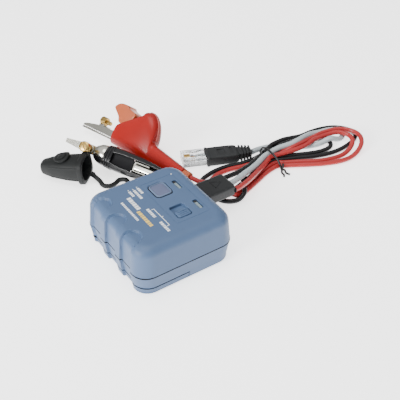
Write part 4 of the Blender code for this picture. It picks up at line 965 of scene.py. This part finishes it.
def build_plug():
    """Clear modular plug, its gold contacts and latch, and the rubber boot with its ribbed tail."""
    matrix = Matrix.Translation((PLUG_AT[0] * MM, PLUG_AT[1] * MM, 0)) @ Matrix.Rotation(
        radians(PLUG_HEADING), 4, "Z")
    top_z = PLUG_LOW_Z + PLUG_H
    mid_z = BOOT_H / 2 + GAP

    def local(name, shape, material=None):
        return solid(name, shape, material, matrix)

    shell = block((PLUG_L, PLUG_W, PLUG_H), (-PLUG_L / 2 - GAP, 0, PLUG_LOW_Z + PLUG_H / 2))
    body = local("plug_shell", shell, CLEAR)
    cutters = [block((4.6, 5, 2.4), (-12, 0, top_z - 0.2)), block((3.4, 7.6, 1), (-6.6, 0, top_z + 0.1)),
               turned(((0, 1.9), (6.2, 1.9), (7.6, 1.3)), (0.2, 0, PLUG_LOW_Z + 2.7), (-1, 0, 0))]
    for side in (-1, 1):
        cutters += [block((PLUG_L + 2, 0.5, 0.6), (-8, side * 4.5, top_z)),
                    block((5, 1, 2.6), (-12.6, side * (PLUG_W / 2), PLUG_LOW_Z + 2.9))]
    carve(body, *(local("cut", shape) for shape in cutters))
    soften(body, 0.18, 2)
    piece(body, "clear_plastic", "plug_body", degrees=30)
    blades = [block(size, (x, CONTACT_Y + CONTACT_STEP * k, top_z - drop)) for size, x, drop in (
        ((4, 0.42, 0.62), -12, 0.66), ((0.42, 0.42, 1.1), -13.8, 0.5)) for k in range(4)]
    piece(local("plug_blades", joined(*blades), GOLD), "gold", "plug_contacts")
    core = turned(((0, 1.7), (5.6, 1.7), (6.6, 1.1)), (0, 0, PLUG_LOW_Z + 2.7), (-1, 0, 0))
    piece(local("plug_core", core, GREY), "grey_vinyl")
    for k, colour in enumerate((GOLD, RED, GREY, LEAD_BLACK)):
        path = ((-6, -0.5 + 0.33 * k, PLUG_LOW_Z + 2.9), (-8, -1.1 + 0.73 * k, top_z - 2.2),
                (-13.6, CONTACT_Y + CONTACT_STEP * k, top_z - 1.9))
        strand("plug_wire_%d" % (k + 1), path, 0.75, colour, "gold", matrix=matrix)
    latch_top = PLUG_LOW_Z - GAP
    latch = local("plug_tab", loft([[(x, half, z) for x, z in
                                     ((-15.1, latch_top - 0.8), (-15.1, latch_top), (-9, 1.35),
                                      (-2.4, GAP + 0.65), (-2.4, GAP), (-9, 0.55))]
                                    for half in (-2.9, -1.9, 1.9, 2.9)]), CLEAR)
    soften(latch, 0.12, 2)
    piece(latch, "clear_plastic", "plug_latch", body="plug_latch")

    rows = [(x, BOOT_W / 2 - drawn, BOOT_H / 2 - drawn) for x, drawn in
            ((GAP, 0.5), (GAP + 0.2, 0.15), (0.8, 0), (1.9, 0), (2.1, 0.25), (8, 0.2), (16, 0.25),
             (19.5, 0.4), (21.2, 0.7), (BOOT_L - 0.3, 1.2))]
    for index in range(4):
        x, half_y, half_z = BOOT_L + TAIL_L / 4 * index, 5.4 - index * 0.35, 3.4 - index * 0.12
        rows += [(x + ahead, half_y - in_y, half_z - in_z) for ahead, in_y, in_z in (
            (0.15, 1, 0.8), (0.85, 1, 0.8), (1, 0.1, 0.1), (1.2, 0, 0), (1.85, 0, 0),
            (2, 0.15, 0.15))]
    boot = local("plug_hood", loft([[(x, y, mid_z + z) for y, z in rounded(half_y, half_z, 1.1)]
                                    for x, half_y, half_z in rows]), RUBBER)
    carve(boot, local("cut", slab([(z, 2.5, 2.5, 0.4) for z in (BOOT_H + GAP - 0.85, BOOT_H + 2)], (10.6, 0))),
          local("cut", block((2, 6.4, 1), (17.4, 0, BOOT_H + GAP - 0.4))))
    soften(boot, 0.12, 2, degrees=50)
    piece(boot, "black_rubber", "plug_boot", degrees=40)


# --- leads and tie ---

LEAD_D, CABLE_D, TIE_D = 3.15, 3.7, 1.35
LEAD_Z, CABLE_Z = 1.6, 2       # the heights of route points that name none
BLACK_ROUTE = (
    (-17.2, 55.3, 14.2), (-17.8, 60, 13.7), (-21.2, 70, 10.8), (-27.3, 84, 7.2), (-32.9, 94, 4.9),
    (-36.6, 103, 4.4), (-38.4, 107.5, 4.8), (-39.8, 112, 5.2), (-40, 121, 5.4), (-40.6, 129, 3.7),
    (-41.3, 138), (-41.3, 148), (-40, 157), (-37, 164.5), (-31.4, 170), (-25.5, 171.6), (-20.5, 169.5),
    (-17.2, 164), (-15.2, 157), (-14.2, 149), (-14.8, 140), (-17.6, 130), (-21.8, 121), (-25.6, 112),
    (-28.9, 103), (-27, 93), (-23.4, 82), (-20, 72), (-17.6, 63), (-17.6, 55.4), (-21, 49.5), (-27.5, 47.2),
    (-33.3, 49.8), (-37.5, 55), (-39.6, 62), (-40.3, 69), (-39.6, 76), (-37.6, 84), (-37, 93), (-38.2, 103),
    (-38.1, 107), (-37.6, 111, 2.4), (-36.8, 116.5, 5), (-36, 121, 5.4), (-35.8, 125.5, 4.6),
    (-35.4, 131, 2.6), (-34.6, 136.5), (-33, 143), (-31, 147.9), (-26.2, 149.9), (-21.5, 147.9),
    (-19.5, 143.2), (-19.9, 136), (-22.4, 128), (-25.9, 120), (-29.5, 111.5), (-32.1, 103), (-30.3, 93),
    (-28.4, 86), (-26, 80, 3.2), (-22.4, 75.4, 4.7), (-17.6, 71.2, 4.8), (-12, 68, 4.9), (-8.6, 65.4, 4.4),
    (-7.7, 61, 2.2), (-8.9, 56.8, 1.7), (-11.3, 53.2, 1.8), (-14.2, 50.4, 2.5), (-17.6, 47.5, 3.6),
    (-21.25, 44.85, 4.3))
RED_ROUTE = (
    (-4.8, 55.3, 14.2), (-5.6, 60, 13.7), (-10.6, 70, 11.2), (-18.8, 84, 7.8), (-24.9, 94, 5.4),
    (-27.5, 98.8, 4.9), (-29.6, 103, 4.7), (-28, 112, 5), (-26.4, 121, 5.4), (-26.8, 130, 5.3),
    (-28.2, 137, 5.6), (-29, 143, 5.3), (-28.8, 150, 5.2), (-26.4, 157.5, 5.8), (-20.6, 162.2, 5.2),
    (-14.4, 160.4, 4.7), (-10.2, 154.4, 3), (-8.6, 146), (-9.8, 136), (-13, 127), (-18, 118), (-22.6, 109.5),
    (-25.8, 103), (-24, 93), (-20.1, 82), (-16.5, 72), (-13.9, 64), (-15.4, 57.9, 4), (-19.8, 53.8, 4.7),
    (-25.5, 52.4, 3.4), (-30.6, 54.8, 1.9), (-34.4, 60, 1.65), (-36.4, 67), (-36.3, 75), (-34.4, 84),
    (-33.7, 93), (-35.1, 103), (-33, 111, 2), (-30.7, 116, 3.8), (-29.6, 121, 5.4), (-30.4, 130, 5.2),
    (-31.8, 140, 4.9), (-32.2, 150, 5.2), (-29.8, 160, 5.5), (-24.4, 167, 5.2), (-17, 168.6, 5),
    (-10, 164.6, 4.6), (-5.4, 157.4, 3), (-3.6, 149), (-4.2, 140), (-7.4, 130.5), (-12.2, 121),
    (-17.2, 112.5), (-19.8, 107.7), (-22.4, 103), (-20.8, 93), (-16.8, 82), (-13.2, 72), (-10.9, 64.5),
    (-11.6, 58.6, 5), (-15.2, 55, 7.9), (-20.5, 52.6, 8.2), (-25.5, 49.7, 7.8), (-30.6, 47.4, 7),
    (-33.9, 46.35, 6.8), (-37, 45.5, 6.8))
CABLE_ROUTE = (
    (-11, 55.3, 14.2), (-11.8, 60, 13.8), (-16.2, 70, 11.9), (-23.1, 84, 8.4), (-29, 94, 6),
    (-31.4, 98.5, 5.4), (-32.9, 103, 5), (-33.8, 112, 5.5), (-32.8, 121, 5.8), (-33.1, 127.5, 6),
    (-35.4, 137, 5), (-37.2, 145, 3.2), (-37.2, 152), (-36.4, 157), (-34.4, 161.8), (-30, 164.2),
    (-25.4, 162), (-23.4, 157.4, 2.1), (-23.4, 153, 3.6), (-24, 148.4, 5.1), (-25.4, 141, 3.2), (-28.4, 134),
    (-32.2, 127), (-37.3, 119.6), (-42, 112), (-43.2, 104, 2.6), (-41.9, 96.6, 3.8))


def build_leads():
    """The two test leads and the plug's cable, each one continuous cord tied into a hank."""
    for name, route, low_z, diameter, material, slot, node, far, carried in (
            ("black_cord", BLACK_ROUTE, LEAD_Z, LEAD_D, LEAD_BLACK, "black_rubber", "black_lead", "tool",
             ("black_lead_collar",)),
            ("red_cord", RED_ROUTE, LEAD_Z, LEAD_D, RED_LEAD, "red_vinyl", "red_lead", "tool",
             ("red_lead_collar",)),
            ("grey_cord", CABLE_ROUTE, CABLE_Z, CABLE_D, GREY, "grey_vinyl", "modular_cable", "plug",
             ("plug_shell", "plug_blades", "plug_tab", "plug_hood"))):
        points = routed([(*point, low_z)[:3] for point in route])
        cord = wire(name, points, diameter, material, resolution=5)
        piece(cord, slot, node)


def build_twist_tie():
    loop = ((-40.8, 103, 1.4), (-40.2, 103, 4), (-38.6, 103, 6.6), (-34.6, 103, 8), (-30, 103, 7.8),
            (-26, 103, 6.9), (-22, 103, 5), (-19.7, 103, 2.8), (-19.2, 103.4, 0.7))
    tail = ((-17.4, 104.6, 0.7), (-14.4, 103.4, 0.7), (-11.8, 104.4, 0.7))
    cross = ((-19.9, 105.2, 3.9), (-18.3, 103.6, 2.2), (-17.4, 102.2, 1.3), (-15.9, 101.2, 0.75),
             (-13.6, 100.9, 0.7), (-12.2, 99.9, 0.7))
    strand("tie_end", routed(cross, 0.5), TIE_D, DARK, "dark_plastic")
    strand("tie_wire", routed(loop + tail, 0.5), TIE_D, DARK, "dark_plastic", "twist_tie")


# --- build, and the finishes on the imported nodes ---

build_housing()
build_controls()
build_marks()
build_relief()
build_clip("red", RED_CLIP, RED, "red_vinyl", ORANGE, "orange_plastic")
build_clip("black", BLACK_CLIP, LEAD_BLACK, "black_rubber", DARK, "dark_plastic")
build_jaw_cover()
build_plug()
build_leads()
build_twist_tie()

for node in NODES.values():
    for held in node.material_slots:
        base = held.material.name.split(".")[0] if held.material else ""
        held.material = SLOTS.get(base, held.material)
